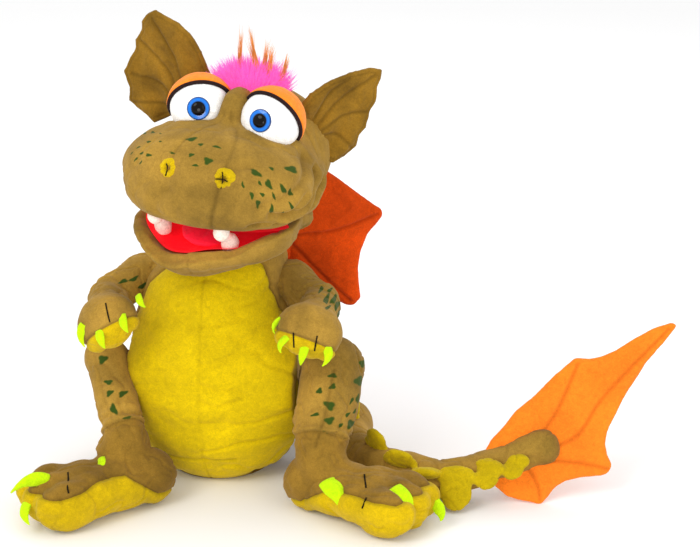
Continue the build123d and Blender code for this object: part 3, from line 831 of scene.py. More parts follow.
def head():
    """The head's skin with its folds, seams and painted spots, and the two nostrils."""
    shapes = [flat_below(ball(MUZZLE_AT, MUZZLE), 0.5),
              flat_below(ball((-6, -98, 24), (80, 52, 40)), 0.5),
              flat_below(ball((0, -34, 36), (84, 60, 58)), 0.5),
              ball((0, 6, 44), (79, 71, 67)),
              ball((0, -44, 80), (15, 33, 36)),
              flat_below(ball((62, -30, 26), (26, 46, 36)), 0.5),
              flat_below(ball((-62, -30, 26), (26, 46, 36)), 0.5)]
    ob = soft("head", shapes, voxel=3.4, smooth=9)
    co = points(ob)
    under = (co[:, 2] < 8) & (co[:, 1] < 14)
    # seams: down the nose, over each brow, round the head and over its crown
    nose = [(28, -146, 50), (27, -149, 30), (24, -146, 12), (22, -138, 0)]
    brow = [(28, -140, 58), (30, -128, 76), (27, -108, 86), (18, -84, 90), (8, -74, 100)]
    brow_r = [(-28, -140, 58), (-24, -122, 80), (-14, -96, 90), (-5, -78, 100)]
    crown = [(0, -20, 114), (0, 20, 110), (0, 56, 86), (0, 76, 50), (0, 70, 10), (0, 55, -10)]
    tree = tree_of(ob)
    d_nose = away(co, snapped(tree, nose))
    d_brow = np.minimum(away(co, snapped(tree, brow)), away(co, snapped(tree, brow_r)))
    d_crown = away(co, crown)
    d_band = np.abs(co[:, 1] + 14 + 0.12 * (co[:, 2] - 40)) + np.where(co[:, 2] < 4, 50, 0)
    seam_shade = np.maximum.reduce([groove(d_nose, 1.8), 0.55 * groove(d_brow, 1.6),
                              0.7 * groove(d_crown, 1.5), 0.5 * groove(d_band, 1.5)])
    sunk = np.zeros(len(co))
    for line, wide, deep in HEAD_FOLDS:
        near = away(co, snapped(tree, line))
        sunk += 1.3 * deep * groove(near, wide) - deep * 0.6 * groove(near - 2.4 * wide, wide * 1.3)
    eye_dip = np.zeros(len(co))
    for eye in EYES.values():
        d = np.linalg.norm(co - np.array(eye), axis=1)
        eye_dip += 1.5 * groove(d - 34, 5)
    nose_dip = sum(6.5 * groove(np.linalg.norm(co - np.array((s * 28, -144, 53)), axis=1), 11)
                   for s in (-1, 1))
    quiet = np.where(under, 0.25, 1.0)

    def relief(co):
        base = rumple(co, (46, 46, 40), 3) * 1.5 + rumple(co, 17, 4) * 0.45
        lines = folds(co + 6 * rumple(co, 40, 8)[:, None], (58, 40, 60), 5)
        pucker = groove(d_nose, 9) * np.sin(co[:, 2] / 3.0) * 0.55
        return quiet * (base + lines + pucker - sunk) - seam_shade * 1.8 + eye_dip - nose_dip

    push(ob, relief)
    # painted shade along the seams, and in the folds by their depth
    field(ob, "seam_shade", seam_shade * 0.85 + 0.25 * np.clip(sunk / 4, 0, 1))
    spots = []
    for x, z, a, b, turn in HEAD_SPOTS:
        place, facing = on_muzzle(x, z)
        spots.append((place, (a * 0.8, b * 0.9), turn, facing))
    field(ob, "spot", blots(points(ob), spots))
    # the opening under the head for the neck
    n_local = HEAD.inverted() @ Vector(pivot("neck_turn"))

    def keep(mid):
        return (np.hypot(mid[:, 0] - n_local.x, mid[:, 1] - n_local.y) >= 49.5) | (mid[:, 2] >= 20)

    skin = portion(ob, "head_skin", keep)
    tree = tree_of(ob)
    bpy.data.objects.remove(ob)
    dress(skin, "head_cover", OLIVE, "head", at=HEAD,
          cover=("muzzle_cover", "cranium_cover"))
    nostrils(tree)


def eyes():
    """Two bulging eyes, each with its iris, pupil, padded lid and lash band."""
    for side in ("left", "right"):
        eye = Vector(EYES[side])
        gaze = Vector(GAZE[side]).normalized()
        white = new_object(side + "_white", *ball(eye, EYE_R, rings=90, segs=160))
        roughen(white, 0.25, 12, 4)
        dress(white, side + "_eye_white", WHITE, "head", at=HEAD,
              cover=(side + "_eyeball",))
        turn = gaze.to_track_quat("Z", "Y").to_matrix()

        def lathe(rows, name, segs=96):
            """Turns rows of (radius, height) about the axis that turn now points along."""
            co = [eye + turn @ Vector((r * np.cos(a), r * np.sin(a), h)) * EYE_SCALE
                  for r, h in rows for a in around(segs)]
            return new_object(name, co, bands(len(rows), segs))

        # iris: a thin disc with a rounded edge; pupil: a low dome on it; rows are radius, height
        rows = [(11.4, 28.6), (11.6, 29.6), (11.3, 30.4)] + [
            (r, 30.7 + 0.9 * (1 - (r / 11) ** 2)) for r in np.linspace(11, 0.05, 26)]
        iris = lathe(rows, side + "_iris")
        r = np.linalg.norm(np.cross(points(iris) - np.array(eye), np.array(gaze)), axis=1)
        field(iris, "spot", np.clip(0.9 * step(9.4, 10.6, r) + 0.75 * (1 - step(6.6, 7.8, r)), 0, 1))
        dress(iris, side + "_iris_disc", IRIS, "head", at=HEAD)
        rows = [(6.9, 31.0), (7.0, 31.8)] + [
            (6.9 * np.cos(t), 31.8 + 2.3 * np.sin(t)) for t in np.linspace(0.05, pi / 2 - 0.01, 22)]
        pupil = lathe(rows, side + "_pupil")
        dress(pupil, side + "_pupil_dome", PUPIL, "head", at=HEAD)
        if side == "left":
            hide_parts("irises")
            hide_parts("pupils")

        # padded lid with a rolled edge, and the lash band under it
        turn = Vector(LIDS[side]).normalized().to_track_quat("Z", "Y").to_matrix()
        first, roll = np.arcsin(6.6 / 36), 2.1
        rows = []
        for t in np.linspace(-pi / 2, pi / 2, 9):
            a = first + 0.03 - roll * np.cos(t) / 36
            r = 32.9 + roll * np.sin(t)
            rows.append((r * np.cos(a), r * np.sin(a)))
        for a in np.linspace(first + 0.05, pi / 2 - 0.002, 46):
            r = 35.0 - 0.6 * groove(a - first - 0.35, 0.02)
            rows.append((r * np.cos(a), r * np.sin(a)))
        lid = lathe(rows, side + "_lid", segs=160)
        roughen(lid, 0.35, 9, 5)
        dress(lid, side + "_lid_pad", LID, "head", at=HEAD,
              cover=(side + "_eyelid",))
        rows = []
        for t in np.linspace(-0.5 * pi, 1.5 * pi, 16):
            a = np.arcsin(4.4 / 35) + 2.2 / 35 * np.sin(t)
            r = 32.4 - 2.0 * np.cos(t)
            rows.append((r * np.cos(a), r * np.sin(a)))
        lash = lathe(rows, side + "_lash", segs=160)
        dress(lash, side + "_lash_band", LASH, "head", at=HEAD)
        if side == "left":
            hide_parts("lash_bands")


def strands(roots, tips, thick, sag, seed, steps=5):
    """Tapered hairs as thin three-sided spikes."""
    r = np.random.default_rng(seed)
    n = len(roots)
    bend = r.normal(0, sag, (n, 3))
    co, faces = [], []
    axis = tips - roots
    axis /= np.linalg.norm(axis, axis=1)[:, None]
    u = np.cross(axis, np.array((0.3, 0.9, 0.2)))
    u /= np.linalg.norm(u, axis=1)[:, None]
    v = np.cross(axis, u)
    for s in np.linspace(0, 1, steps):
        mid = roots + (tips - roots) * s + bend * (s * s)
        w = thick * (1 - 0.92 * s)
        for k in range(3):
            a = 2 * pi * k / 3
            co.append(mid + w * (np.cos(a) * u + np.sin(a) * v))
    co = np.stack(co, 1).reshape(-1, 3)
    per = steps * 3
    for i in range(n):
        b = i * per
        for s in range(steps - 1):
            for k in range(3):
                k2 = (k + 1) % 3
                faces.append((b + s * 3 + k, b + s * 3 + k2, b + s * 3 + 3 + k2, b + s * 3 + 3 + k))
        e = b + (steps - 1) * 3
        faces.append((e, e + 1, e + 2))
    return co, faces


HAIRS, HAIRS_IN_STRAND = 5200, 46
STRANDS = ((-13, -12, -4, 46), (6, -9, -14, 48), (9, -10, 2, 38), (15, -13, 3, 35),
           (27, -8, 5, 28))      # x, y, lean and height of each long strand


def hair():
    """The fur tuft on its backing, and five long strands standing out of it."""
    r = np.random.default_rng(11)
    n = HAIRS
    u, v = r.uniform(0, 2 * pi, n), r.uniform(0.05, 1, n) ** 0.5
    root = np.stack([30 * v * np.cos(u), -10 + 22 * v * np.sin(u),
                     101 + 15 * np.sqrt(np.clip(1 - v * v, 0, 1))], -1)
    out = np.stack([0.85 * v * np.cos(u), 0.55 * v * np.sin(u), np.full(n, 1.0)], -1)
    out += r.normal(0, 0.16, (n, 3))
    out /= np.linalg.norm(out, axis=1)[:, None]
    tip = root + out * (10 + 17 * r.uniform(0, 1, n) ** 2.4)[:, None]
    ob = new_object("tuft", *strands(root, tip, 0.55, 1.6, 12))
    dress(ob, "fur_tuft", PINK, "head", at=HEAD)
    base = new_object("tuft_base", *ball((0, -10, 101), (29, 21, 16)))
    roughen(base, 1.0, 7, 5)
    dress(base, "fur_backing", PINK, "head", at=HEAD, cover=("hair_tuft",))
    roots, tips = [], []
    for x, y, lean, tall in STRANDS:
        for _ in range(HAIRS_IN_STRAND):
            s = np.array((x, y, 116)) + r.normal(0, 1.7, 3)
            roots.append(s)
            h = tall * r.uniform(0.55, 1.0)
            tips.append(np.array((x + lean, y + 2, 120 + h)) + r.normal(0, 1.5, 3) * (0.4, 0.6, 0.4))
    ob = new_object("strands", *strands(np.array(roots), np.array(tips), 0.6, 1.2, 13, 7))
    dress(ob, "long_strands", STRAND, "head", at=HEAD, cover=("hair_strands",))


UPPER_TEETH = ((-45, -118, 1), (27, -126, 1))
LOWER_TEETH = ((-50, -90, -6), (28, -106, 1))


def tooth(base, direction, length, r):
    """A blunt padded tooth, sunk 2 mm into its lining."""
    base, direction = np.array(base, float), np.array(direction, float)
    rows = [(*(base + direction * h), r * w) for h, w in (
        (-2, 0.9), (length * 0.3, 1), (length * 0.62, 0.86), (length * 0.86, 0.56), (length, 0.12))]
    return tube(rows, n=36, segs=30)


def plate(name, half, centre, level, bow):
    """A lining over a mouth plate, straight at the hinge end."""
    rows, ring = 40, 150
    co = []
    for t in np.linspace(1, 0.02, rows):
        for a in around(ring):
            x, y = half[0] * t * np.cos(a), half[1] * t * np.sin(a)
            co.append((x, min(y, half[1] * 0.62) + centre, level + bow * (1 - t * t)))
    return new_object(name, co, bands(rows, ring, flip=True) + [last_ring(rows, ring)])


def jaw():
    """The padded lower lip and chin."""
    co, faces = ball((-2, -70, -4), (84, 70, 43), rings=60, segs=100)
    co[:, 2] = np.minimum(co[:, 2], -2)
    shapes = [(co, faces), ball((66, -30, -12), (15, 24, 13)), ball((-68, -30, -12), (15, 24, 13))]
    ob = soft("jaw", shapes, voxel=3.0, smooth=7)
    co = points(ob)
    inside = ((co[:, 0] / 77) ** 2 + ((co[:, 1] + 64) / 60) ** 2) ** 0.5
    top = step(-16, -6, co[:, 2])
    # a rolled lip round a sunk floor; it dips at the front right and climbs to the left corner
    lip = top * groove(inside - 1.06, 0.075)
    co[:, 2] += lip * 4.0 * np.clip((-co[:, 1] - 30) / 90, 0, 1)
    co[:, 2] -= top * (1 - step(0.84, 0.96, inside)) * 16.0
    front = step(20, 70, -co[:, 1])
    rim = step(0.84, 0.96, inside) * top
    co[:, 2] -= 12 * rim * front * groove(co[:, 0] + 30, 28)
    rise = step(-16, 56, co[:, 0])
    co[:, 2] += rise * (7 - 0.30 * co[:, 2])
    co[:, 2] += 11.0 * rim * step(34, 66, co[:, 0]) * step(10, 50, -co[:, 1])
    set_points(ob, co)
    centre = np.where(co[:, 1] < -60, np.abs(co[:, 0] + 2), 99) + np.where(co[:, 2] > -6, 20, 0)
    seam_shade = 0.5 * groove(centre, 1.3)
    tree = tree_of(ob)
    corner = [([(84, -40, -6), (74, -52, -20), (56, -74, -32)], 4, 3.0),
              ([(78, -26, -10), (66, -40, -28), (44, -52, -40)], 4, 3.2),
              ([(-84, -44, -6), (-72, -60, -22), (-54, -76, -32)], 4, 2.4),
              ([(40, -122, -12), (20, -132, -20), (-6, -134, -24)], 5, 1.2)]
    sunk = sum(1.2 * deep * groove(away(co, snapped(tree, line)), wide)
               for line, wide, deep in corner)

    def relief(co):
        return (rumple(co, (36, 30, 20), 3) * 1.4 + rumple(co, 14, 5) * 0.4 - sunk - seam_shade * 1.6
                + folds(co, (60, 40, 24), 7)) * (1 - 0.7 * (inside < 0.9))

    push(ob, relief)
    # painted shade along the chin seam and in the folds at the corners
    field(ob, "seam_shade", seam_shade * 0.8 + 0.2 * np.clip(sunk / 4, 0, 1))
    n_local = np.array(JAW.inverted() @ Vector(pivot("neck_turn")))
    skin = portion(ob, "jaw_skin", lambda mid: np.linalg.norm(mid - n_local, axis=1) > 53)
    bpy.data.objects.remove(ob)
    h = np.array(HEAD.translation)
    down = np.array(JAW.to_3x3() @ Vector((0, -24, -16)))
    dress(skin, "jaw_lip", OLIVE, at=JAW, cover=("jaw_cover",),
          bend=("head", "jaw", tuple(h + down * 0.15), tuple(h + down * 1.2)))


def mouth():
    """Both linings, the lip, the tongue, the throat and the teeth."""
    up = plate("palate", (79, 64), -66, -0.4, 2.5)
    roughen(up, 0.5, 14, 3)
    dress(up, "palate_lining", RED, "head", at=HEAD,
          cover=("upper_mouth_lining", "upper_mouth_plate"))

    jaw()

    low = plate("floor", (76, 59), -64, -3.2, -1.5)
    co = points(low)
    co[:, 2] += 4.5 * groove(np.hypot(co[:, 0] / 76, (co[:, 1] + 64) / 59) - 1, 0.12) * \
        np.clip((-co[:, 1] - 30) / 90, 0, 1)
    co[:, 2] -= 11 * groove(co[:, 0] + 30, 28) * step(60, 112, -co[:, 1])
    co[:, 2] += 6 * step(-16, 56, co[:, 0])
    set_points(low, co)
    roughen(low, 0.8, (30, 24, 20), 3)
    dress(low, "lower_lining", RED, "jaw", at=JAW,
          cover=("lower_mouth_lining", "lower_mouth_plate"))
    tongue = soft("tongue", [ball((-4, -74, -2.5), (30, 36, 6.5))], voxel=2.0, smooth=4)
    push(tongue, lambda co: -1.8 * groove(co[:, 0] + 4, 3) * step(-108, -90, co[:, 1])
         + 0.5 * rumple(co, 12, 3))
    dress(tongue, "tongue_pad", TONGUE, "jaw", at=JAW, cover=("tongue",))
    # throat: a red web behind both linings
    rows, wide = 24, 60
    co = []
    for t in np.linspace(0, 1, rows):
        for s in np.linspace(-1, 1, wide):
            top, low = HEAD @ Vector((70 * s, -28, 1.5)), JAW @ Vector((68 * s, -28, -4))
            co.append(top.lerp(low, t) + Vector((0, 10 * np.sin(pi * t), 0)) * (1 - 0.3 * s * s))
    web = new_object("throat", co, bands(rows, wide, closed=False))
    dress(web, "throat_lining", RED,
          bend=("head", "jaw", tuple(HEAD @ Vector((0, -28, 1))), tuple(JAW @ Vector((0, -28, -4)))))
    teeth = new_object("teeth_up", *joined([tooth(root, (0, -0.06, -1), 12, 7.8)
                                            for root in UPPER_TEETH]))
    roughen(teeth, 0.3, 5, 2)
    dress(teeth, "upper_teeth_pads", TOOTH, "head", at=HEAD, cover=("upper_teeth",))
    teeth = new_object("teeth_low", *joined([tooth(root, (0, -0.05, 1), 15, 8.6)
                                             for root in LOWER_TEETH]))
    roughen(teeth, 0.3, 5, 7)
    dress(teeth, "lower_teeth_pads", TOOTH, "jaw", at=JAW, cover=("lower_teeth",))


# ---------------------------------------------------------------- flat padded pieces
def in_frame(base, *turns):
    """A frame at base, turned by each (degrees, axis) in order."""
    m = Matrix.Translation(Vector(base))
    for angle, axis in turns:
        m = m @ Matrix.Rotation(radians(angle), 4, axis)
    return m


def quilted(name, outline, thick, ribs, rim, warp, seed, voxel, seam_shade_deep, stitch=None):
    """A padded blade: thin sewn rim, full middle, sewn ribs, and a gentle warp."""
    ob = slab(name, outline, thick, voxel)
    co = points(ob)
    flat = co * (1, 0, 1)
    edge = away(flat, [(x, 0, z) for x, z in outline] + [(outline[0][0], 0, outline[0][1])])
    full = 0.34 + 0.66 * np.sqrt(np.clip(edge / rim, 0, 1))
    seam_shade = np.zeros(len(co))
    for rib in ribs:
        line = rounded([(x, 0, z) for x, z in rib], 24)
        seam_shade = np.maximum(seam_shade, groove(away(flat, line), 1.8))
    co[:, 1] *= full * (1 - seam_shade_deep * seam_shade)
    if stitch:
        near = groove(edge - stitch, 0.9)
        co[:, 1] *= 1 - 0.25 * near
        seam_shade = np.maximum(seam_shade, 0.5 * near)
    co[:, 1] += warp * rumple(flat, 60, seed) + warp * 0.45 * rumple(flat, 24, seed + 1)
    co[:, 1] += 0.9 * folds(flat + 5 * rumple(flat, 30, seed + 3)[:, None], 46, seed + 2)
    set_points(ob, co)
    roughen(ob, 0.3, 8, seed + 4)
    # painted shade in the sewn ribs and along the stitched rim
    field(ob, "seam_shade", seam_shade * 0.7)
    return ob


# where each ear stands, its lean and turn in degrees, its outline and its sewn ribs
EARS = {
    "right": ((-78, 6, 72), -34, -10,
              [(-40, -2), (-46, 9), (-54, 20), (-58, 30), (-51, 42), (-50, 50), (-49, 58), (-35, 69),
               (-26, 74), (-22, 82), (-8, 88), (-4, 95), (6, 99), (16, 98), (27, 86), (37, 76),
               (45, 61), (48, 40), (45, 18), (38, -2)],
              [[(-4, 2), (-12, 30), (-40, 52)], [(0, 2), (2, 40), (-16, 80)],
               [(6, 2), (16, 44), (10, 92)], [(-8, 2), (-26, 14), (-52, 26)]]),
    "left": ((70, 12, 66), 48, 50,
             [(-46, -2), (-48, 16), (-43, 40), (-34, 60), (-21, 80), (-10, 89), (-4, 82), (0, 74),
              (11, 64), (14, 54), (24, 40), (25, 30), (33, 21), (33, 6), (27, -8), (14, -17),
              (3, -18), (-10, -8)],
             [[(-10, 0), (-4, 30), (16, 56)], [(-16, 0), (-20, 40), (-12, 80)],
              [(-8, -4), (6, 12), (30, 16)], [(-22, 0), (-34, 30), (-30, 56)]])}


def ears():
    """Two padded blades cupped forwards."""
    for side, (base, lean, turn, outline, ribs) in EARS.items():
        at = HEAD @ in_frame(base, (turn, "Z"), (lean, "Y"))
        ob = quilted(side + "_ear_soft", outline, 8.0, ribs, rim=7, warp=2.4,
                     seed=21 if side == "right" else 27, voxel=2.0, seam_shade_deep=0.35, stitch=4.0)
        co = points(ob)
        # the blade is cupped towards the front, and gathered at its root
        root = np.exp(-np.clip(co[:, 2], 0, 200) / 22)
        co[:, 1] -= 0.0016 * co[:, 0] ** 2 * step(0, 60, co[:, 2])
        co[:, 1] += root * 3.0 * np.sin(co[:, 0] / 5.0)
        set_points(ob, co)
        dress(ob, side + "_ear_pad", OLIVE_DARK, side + "_ear", at=at,
              cover=(side + "_ear",))


WING = [(0, -36), (14, -58), (62, -86), (70, -86), (77, -78), (75, -60), (74, -44), (77, -26),
        (84, -8), (94, 4), (100, 12), (98, 19), (90, 24), (62, 46), (42, 61), (36, 60), (16, 44),
        (0, 34)]
WING_RIBS = [[(4, -8), (50, -2), (94, 14)], [(4, -16), (34, -48), (66, -80)],
             [(4, 2), (24, 30), (38, 56)]]


WING_HEADING = {"left": 12, "right": 112}      # degrees from +x


def wings():
    """Two padded blades, each with the short web that sews its root to the back."""
    for side, heading in WING_HEADING.items():
        root = pivot(side + "_wing_flap")
        ob = quilted(side + "_wing_soft", WING, 11, WING_RIBS, rim=12, warp=2.2, seed=31,
                     voxel=2.4, seam_shade_deep=0.45)
        co = points(ob)
        co[:, 1] += -3.0 * np.sin(np.clip(co[:, 0], 0, 100) / 100 * pi)
        set_points(ob, co)
        dress(ob, side + "_wing_pad", ORANGE, side + "_wing",
              at=in_frame(root, (heading, "Z")), cover=(side + "_wing",))
        s = 1 if side == "left" else -1
        inner = Vector((s * 44, 50, 216))
        shape = [tube([(s * 40, 46, 200, 7), (s * 50, 57, 212, 6), (root[0], root[1], 224, 6)]),
                 tube([(s * 34, 38, 222, 7), (s * 46, 52, 230, 6), (root[0], root[1], 244, 6)]),
                 tube([(root[0], root[1], 204, 6.2), (root[0], root[1], 268, 6.2)])]
        web = soft(side + "_web", shape, voxel=2.4, smooth=5)
        roughen(web, 0.5, 8, 3)
        dress(web, side + "_wing_web", ORANGE,
              bend=("trunk", side + "_wing", tuple(inner), tuple(root)))


FIN_OUTLINE = [(44, -4), (47, 12), (58, 22), (71, 29), (90, 42), (111, 50), (138, 64), (164, 75),
               (176, 70), (187, 68), (206, 70), (224, 75), (250, 80), (268, 80), (272, 75),
               (259, 66), (244, 57), (229, 48), (215, 36), (202, 26), (186, 10), (172, -4),
               (166, -14), (164, -26), (166, -38), (160, -44), (152, -45), (130, -40), (115, -39),
               (104, -42), (95, -49), (85, -54), (78, -49), (68, -44), (56, -36), (47, -22)]
FIN_RIBS = [[(92, 0), (130, 30), (164, 68)], [(96, -4), (140, 0), (180, 30), (262, 74)],
            [(94, -10), (130, -24), (160, -40)], [(84, -14), (88, -34), (86, -50)]]


FIN_LEAN = radians(-26)     # about the line of the tail


def fin():
    """The tail's fin, leaning back about the line of the tail."""
    a, b = pivot("tail_tip_swing"), pivot("tail_fin_roll")
    run = Vector(b - a).normalized()
    up = (Vector((0, 0, 1)) - run * run.z).normalized()
    up = Matrix.Rotation(FIN_LEAN, 3, run) @ up
    m = basis(run, up.cross(run), up).to_4x4()
    m.translation = Vector(a)
    ob = quilted("fin_soft", FIN_OUTLINE, 9, FIN_RIBS, rim=12, warp=2.0, seed=41, voxel=2.6,
                 seam_shade_deep=0.4)
    dress(ob, "tail_fin_pad", FIN, "tail_fin", at=m, cover=("tail_fin",))


# ---------------------------------------------------------------- arms
def along_chain(co, chain):
    """Position of each point along a chain of joints: segment number plus share of it."""
    best, out = np.full(len(co), 1e9), np.zeros(len(co))
    chain = np.array(chain, float)
    for i, (a, b) in enumerate(zip(chain[:-1], chain[1:])):
        ab = b - a
        t = (co - a) @ ab / (ab @ ab)
        d = np.linalg.norm(co - a - np.clip(t, 0, 1)[:, None] * ab, axis=1)
        out = np.where(d < best, i + np.clip(t, 0, 1), out)
        best = np.minimum(best, d)
    return out


def stretch(ob, name, chain, low, high):
    """A copy of the faces of ob between two places along a chain."""
    def keep(mid):
        pos = along_chain(mid, chain)
        return (pos >= low) & (pos < high)

    return portion(ob, name, keep)


def painted(tree, rows, y, shrink=(1, 1)):
    """Spots from rows of x, z, half sizes and turn, dropped on a surface from in front."""
    return [(lie_on(tree, [(x, y, z)], INTO, 0)[0], (a * shrink[0], b * shrink[1]), turn, FRONT)
            for x, z, a, b, turn in rows]


def claw(tree, base, tip, width, wide_dir, curl, flat=0.55):
    """A flat hooked claw whose root is moved onto the surface of its paw."""
    base, tip, curl = (np.array(x, float) for x in (base, tip, curl))
    root = np.array(tree.ray_cast(Vector(base) + Vector(FRONT) * 60, Vector(INTO), 160)[0] or base)
    base, tip = root, tip + root - base
    rows = []
    for t, w in ((-0.12, 0.92), (0.1, 1.0), (0.35, 0.92), (0.6, 0.66), (0.82, 0.36), (1.0, 0.1)):
        p = base + (tip - base) * t + curl * t * (1 - t) * 4
        rows.append((*p, width / 2 * w))
    return tube(rows, n=30, segs=28, flat=flat, side=wide_dir)


def nails(tree, side, end, digit, rows, rough, size):
    """The felt claws of a hand or foot."""
    ob = new_object(side + "_nails", *joined([claw(tree, *row) for row in rows]))
    roughen(ob, rough, size, 2)
    dress(ob, side + digit + "_claws", LIME, side + end,
          cover=(side + end + "_claws",))


def slits(tree, side, end, digit, rows, r):
    """The stitched lines between fingers or toes."""
    marks = []
    for a, b in rows:
        line = [np.array(a) * (1 - t) + np.array(b) * t for t in (0, 0.33, 0.66, 1)]
        marks.append(thread(lie_on(tree, line, INTO, 0.3), r))
    ob = new_object(side + "_slits", *joined(marks))
    dress(ob, side + digit + "_stitches", THREAD, side + end)


FINGER_PITCH = 15.5     # from one finger's middle to the next
PAD_LEVEL = 11          # how far in front of a paw's middle its palm is sewn on
# claws: base, tip, width, the way they are wide, curl; spots: x, z, half sizes, turn
HANDS = {
    "right": dict(paw=(-87, -101, 183), across=(0.80, -0.10, 0.59), palm=(0.62, -0.42, -0.66),
                  semi=(33, 25, 27),
                  spots=[(-66, 207, 5, 2, 40), (-58, 214, 4, 1.8, 20), (-74, 214, 5, 2, 30),
                         (-64, 198, 4, 1.6, 60), (-84, 211, 4.5, 2, 20)],
                  claws=[((-107, -115, 181), (-104, -120, 162), 9, (1, 0, 0.3), (-3, 0, 0)),
                         ((-88, -122, 178), (-81, -128, 165), 9, (1, 0, 0.5), (0, -3, 0)),
                         ((-66, -118, 194), (-59, -124, 181), 9, (1, 0, 0.6), (0, -3, 0)),
                         ((-53, -105, 211), (-45, -110, 203), 8, (0.7, 0, 0.7), (0, -3, 0))],
                  slits=[((-84, -110, 205), (-77, -122, 190))]),
    "left": dict(paw=(114, -96, 184), across=(0.93, 0.0, -0.30), palm=(-0.36, -0.46, -0.81),
                 semi=(33, 26, 27),
                 spots=[(118, 214, 4, 1.8, 60), (124, 205, 5.5, 2.4, 70), (127, 214, 3.4, 1.6, 40),
                        (131, 205, 6, 2.4, 60), (126, 197, 4, 1.4, 30), (134, 198, 6, 2.2, 65),
                        (136, 190, 4.4, 1.6, 60), (120, 224, 5, 2, 70)],
                 claws=[((86, -108, 197), (84, -117, 186), 8, (0.5, 0, 0.8), (-3, 0, 0)),
                        ((95, -119, 183), (92, -127, 171), 9, (0.9, 0, 0.4), (-3, 0, 0)),
                        ((114, -122, 175), (111, -128, 160), 9, (1, 0, 0), (0, -3, 0)),
                        ((135, -116, 174), (131, -122, 158), 9, (1, 0, 0), (3, 0, 0))],
                 slits=[((103, -121, 190), (104, -124, 176)), ((126, -120, 188), (124, -124, 174))])}


def arms():
    """Each arm is one skin, cut at the elbow, at the wrist and round the palm."""
    for side, s in (("right", -1), ("left", 1)):
        sh, el, wr = (pivot(side + "_" + k) for k in ("shoulder", "elbow", "wrist"))
        h = HANDS[side]
        paw = np.array(h["paw"], float)
        across = unit(h["across"])
        palm = unit(h["palm"] - across * (h["palm"] @ across))
        along = np.cross(palm, across)
        turn = basis(across, along, palm)
        inner = sh + (-s * 20, 6, 0)
        arm = tube([(*inner, 20), (*(sh + (-s * 8, 3, 0)), 22), (*sh, 22.5),
                    (*(sh * 0.5 + el * 0.5), 20.5), (*el, 20.5), (*(el * 0.5 + wr * 0.5), 20),
                    (*wr, 20.5), (*(wr * 0.4 + paw * 0.6), 24), (*paw, 22)], n=80)
        shapes = [arm, ball(paw, h["semi"], turn=turn)]
        for i in range(4):
            k = (i - 1.5) * FINGER_PITCH
            c = paw + across * k + palm * (15 - abs(k) * 0.18)
            shapes.append(ball(c, (8.6, 12, 12.5), turn=turn))
        ob = soft(side + "_arm", shapes, voxel=2.6, smooth=6)
        chain = [sh, el, wr, paw]
        co = points(ob)
        pos = along_chain(co, chain)
        pad = (co - paw) @ palm - PAD_LEVEL
        on_hand = step(1.9, 2.5, pos)
        seam_shade = groove(pad, 1.5) * on_hand
        knuckle = np.zeros(len(co))
        for i in range(3):
            k = (i - 1) * FINGER_PITCH
            line = [paw + across * k + palm * 26, paw + across * k * 0.9 - palm * 2 - along * 22]
            knuckle = np.maximum(knuckle, groove(away(co, line), 3.0))
        cuff = groove(pos - 1.85, 0.13)
        bend1 = groove(pos - 0.95, 0.22)

        def relief(co):
            wave = rumple(co, (26, 26, 20), 3 + s) * 1.2 + rumple(co, 11, 5) * 0.4
            line = folds(co + 5 * rumple(co, 26, 8)[:, None], (34, 20, 24), 6 + s) * 1.6
            ring = np.sin((pos - 0.9) * 26 + 2 * rumple(co, 16, 2)) * bend1 * 1.1
            return (wave + line * (1 - on_hand * 0.7) + ring - 1.6 * cuff - seam_shade * 1.6
                    - knuckle * 1.6 * on_hand)

        push(ob, relief)
        co = points(ob)
        # painted shade along the palm's seam, between the knuckles and in the wrist's crease
        field(ob, "seam_shade", seam_shade * 0.7 + 0.16 * knuckle * on_hand + 0.12 * cuff)
        tree = tree_of(ob)
        field(ob, "spot", blots(co, painted(tree, h["spots"], -60)))
        field(ob, "zone", np.where(pos > 2.2, (co - paw) @ palm - PAD_LEVEL, -5.0))
        u, v, w = unit(el - sh), unit(wr - el), unit(paw - wr)
        upper = stretch(ob, side + "_a", chain, 0, 0.5)
        fore = stretch(ob, side + "_b", chain, 0.5, 1.5)
        hand = stretch(ob, side + "_c", chain, 1.5, 4)
        dress(upper, side + "_upper_sleeve", OLIVE, cover=(side + "_upper_arm",),
              bend=("trunk", side + "_upper_arm", sh - u * 14, sh + u * 9))
        dress(fore, side + "_lower_sleeve", OLIVE, cover=(side + "_forearm",),
              bend=(side + "_upper_arm", side + "_forearm", el - u * 9, el + v * 9))
        back, front = cut_along(hand, "zone")
        bend = (side + "_forearm", side + "_hand", wr - v * 8, wr + w * 8)
        dress(back, side + "_paw_back", OLIVE, cover=(side + "_paw",),
              bend=bend)
        dress(front, side + "_paw_pad", SOLE, cover=(side + "_palm",),
              bend=bend)
        bpy.data.objects.remove(ob)
        nails(tree, side, "_hand", "_finger", h["claws"], 0.25, 4)
        slits(tree, side, "_hand", "_finger", h["slits"], 0.75)


# ---------------------------------------------------------------- legs
SPLIT = 1.86            # where the foot is sewn on, along the leg's chain
THIGH_SIDE = 77.5       # the thighs' inner sides are pressed towards this distance from the middle
# heel, instep, ball of the foot and three toes: place along, across and up, and half sizes
FOOT = ((0, 0, 28, (31, 30, 27.5)), (34, 0, 27, (46, 34, 26.5)), (66, 0, 27, (44, 40, 26.5)),
        (92, -24, 25, (34, 20, 24.5)), (99, 1, 26, (30, 19, 25.5)), (92, 25, 25, (34, 19, 24.5)))
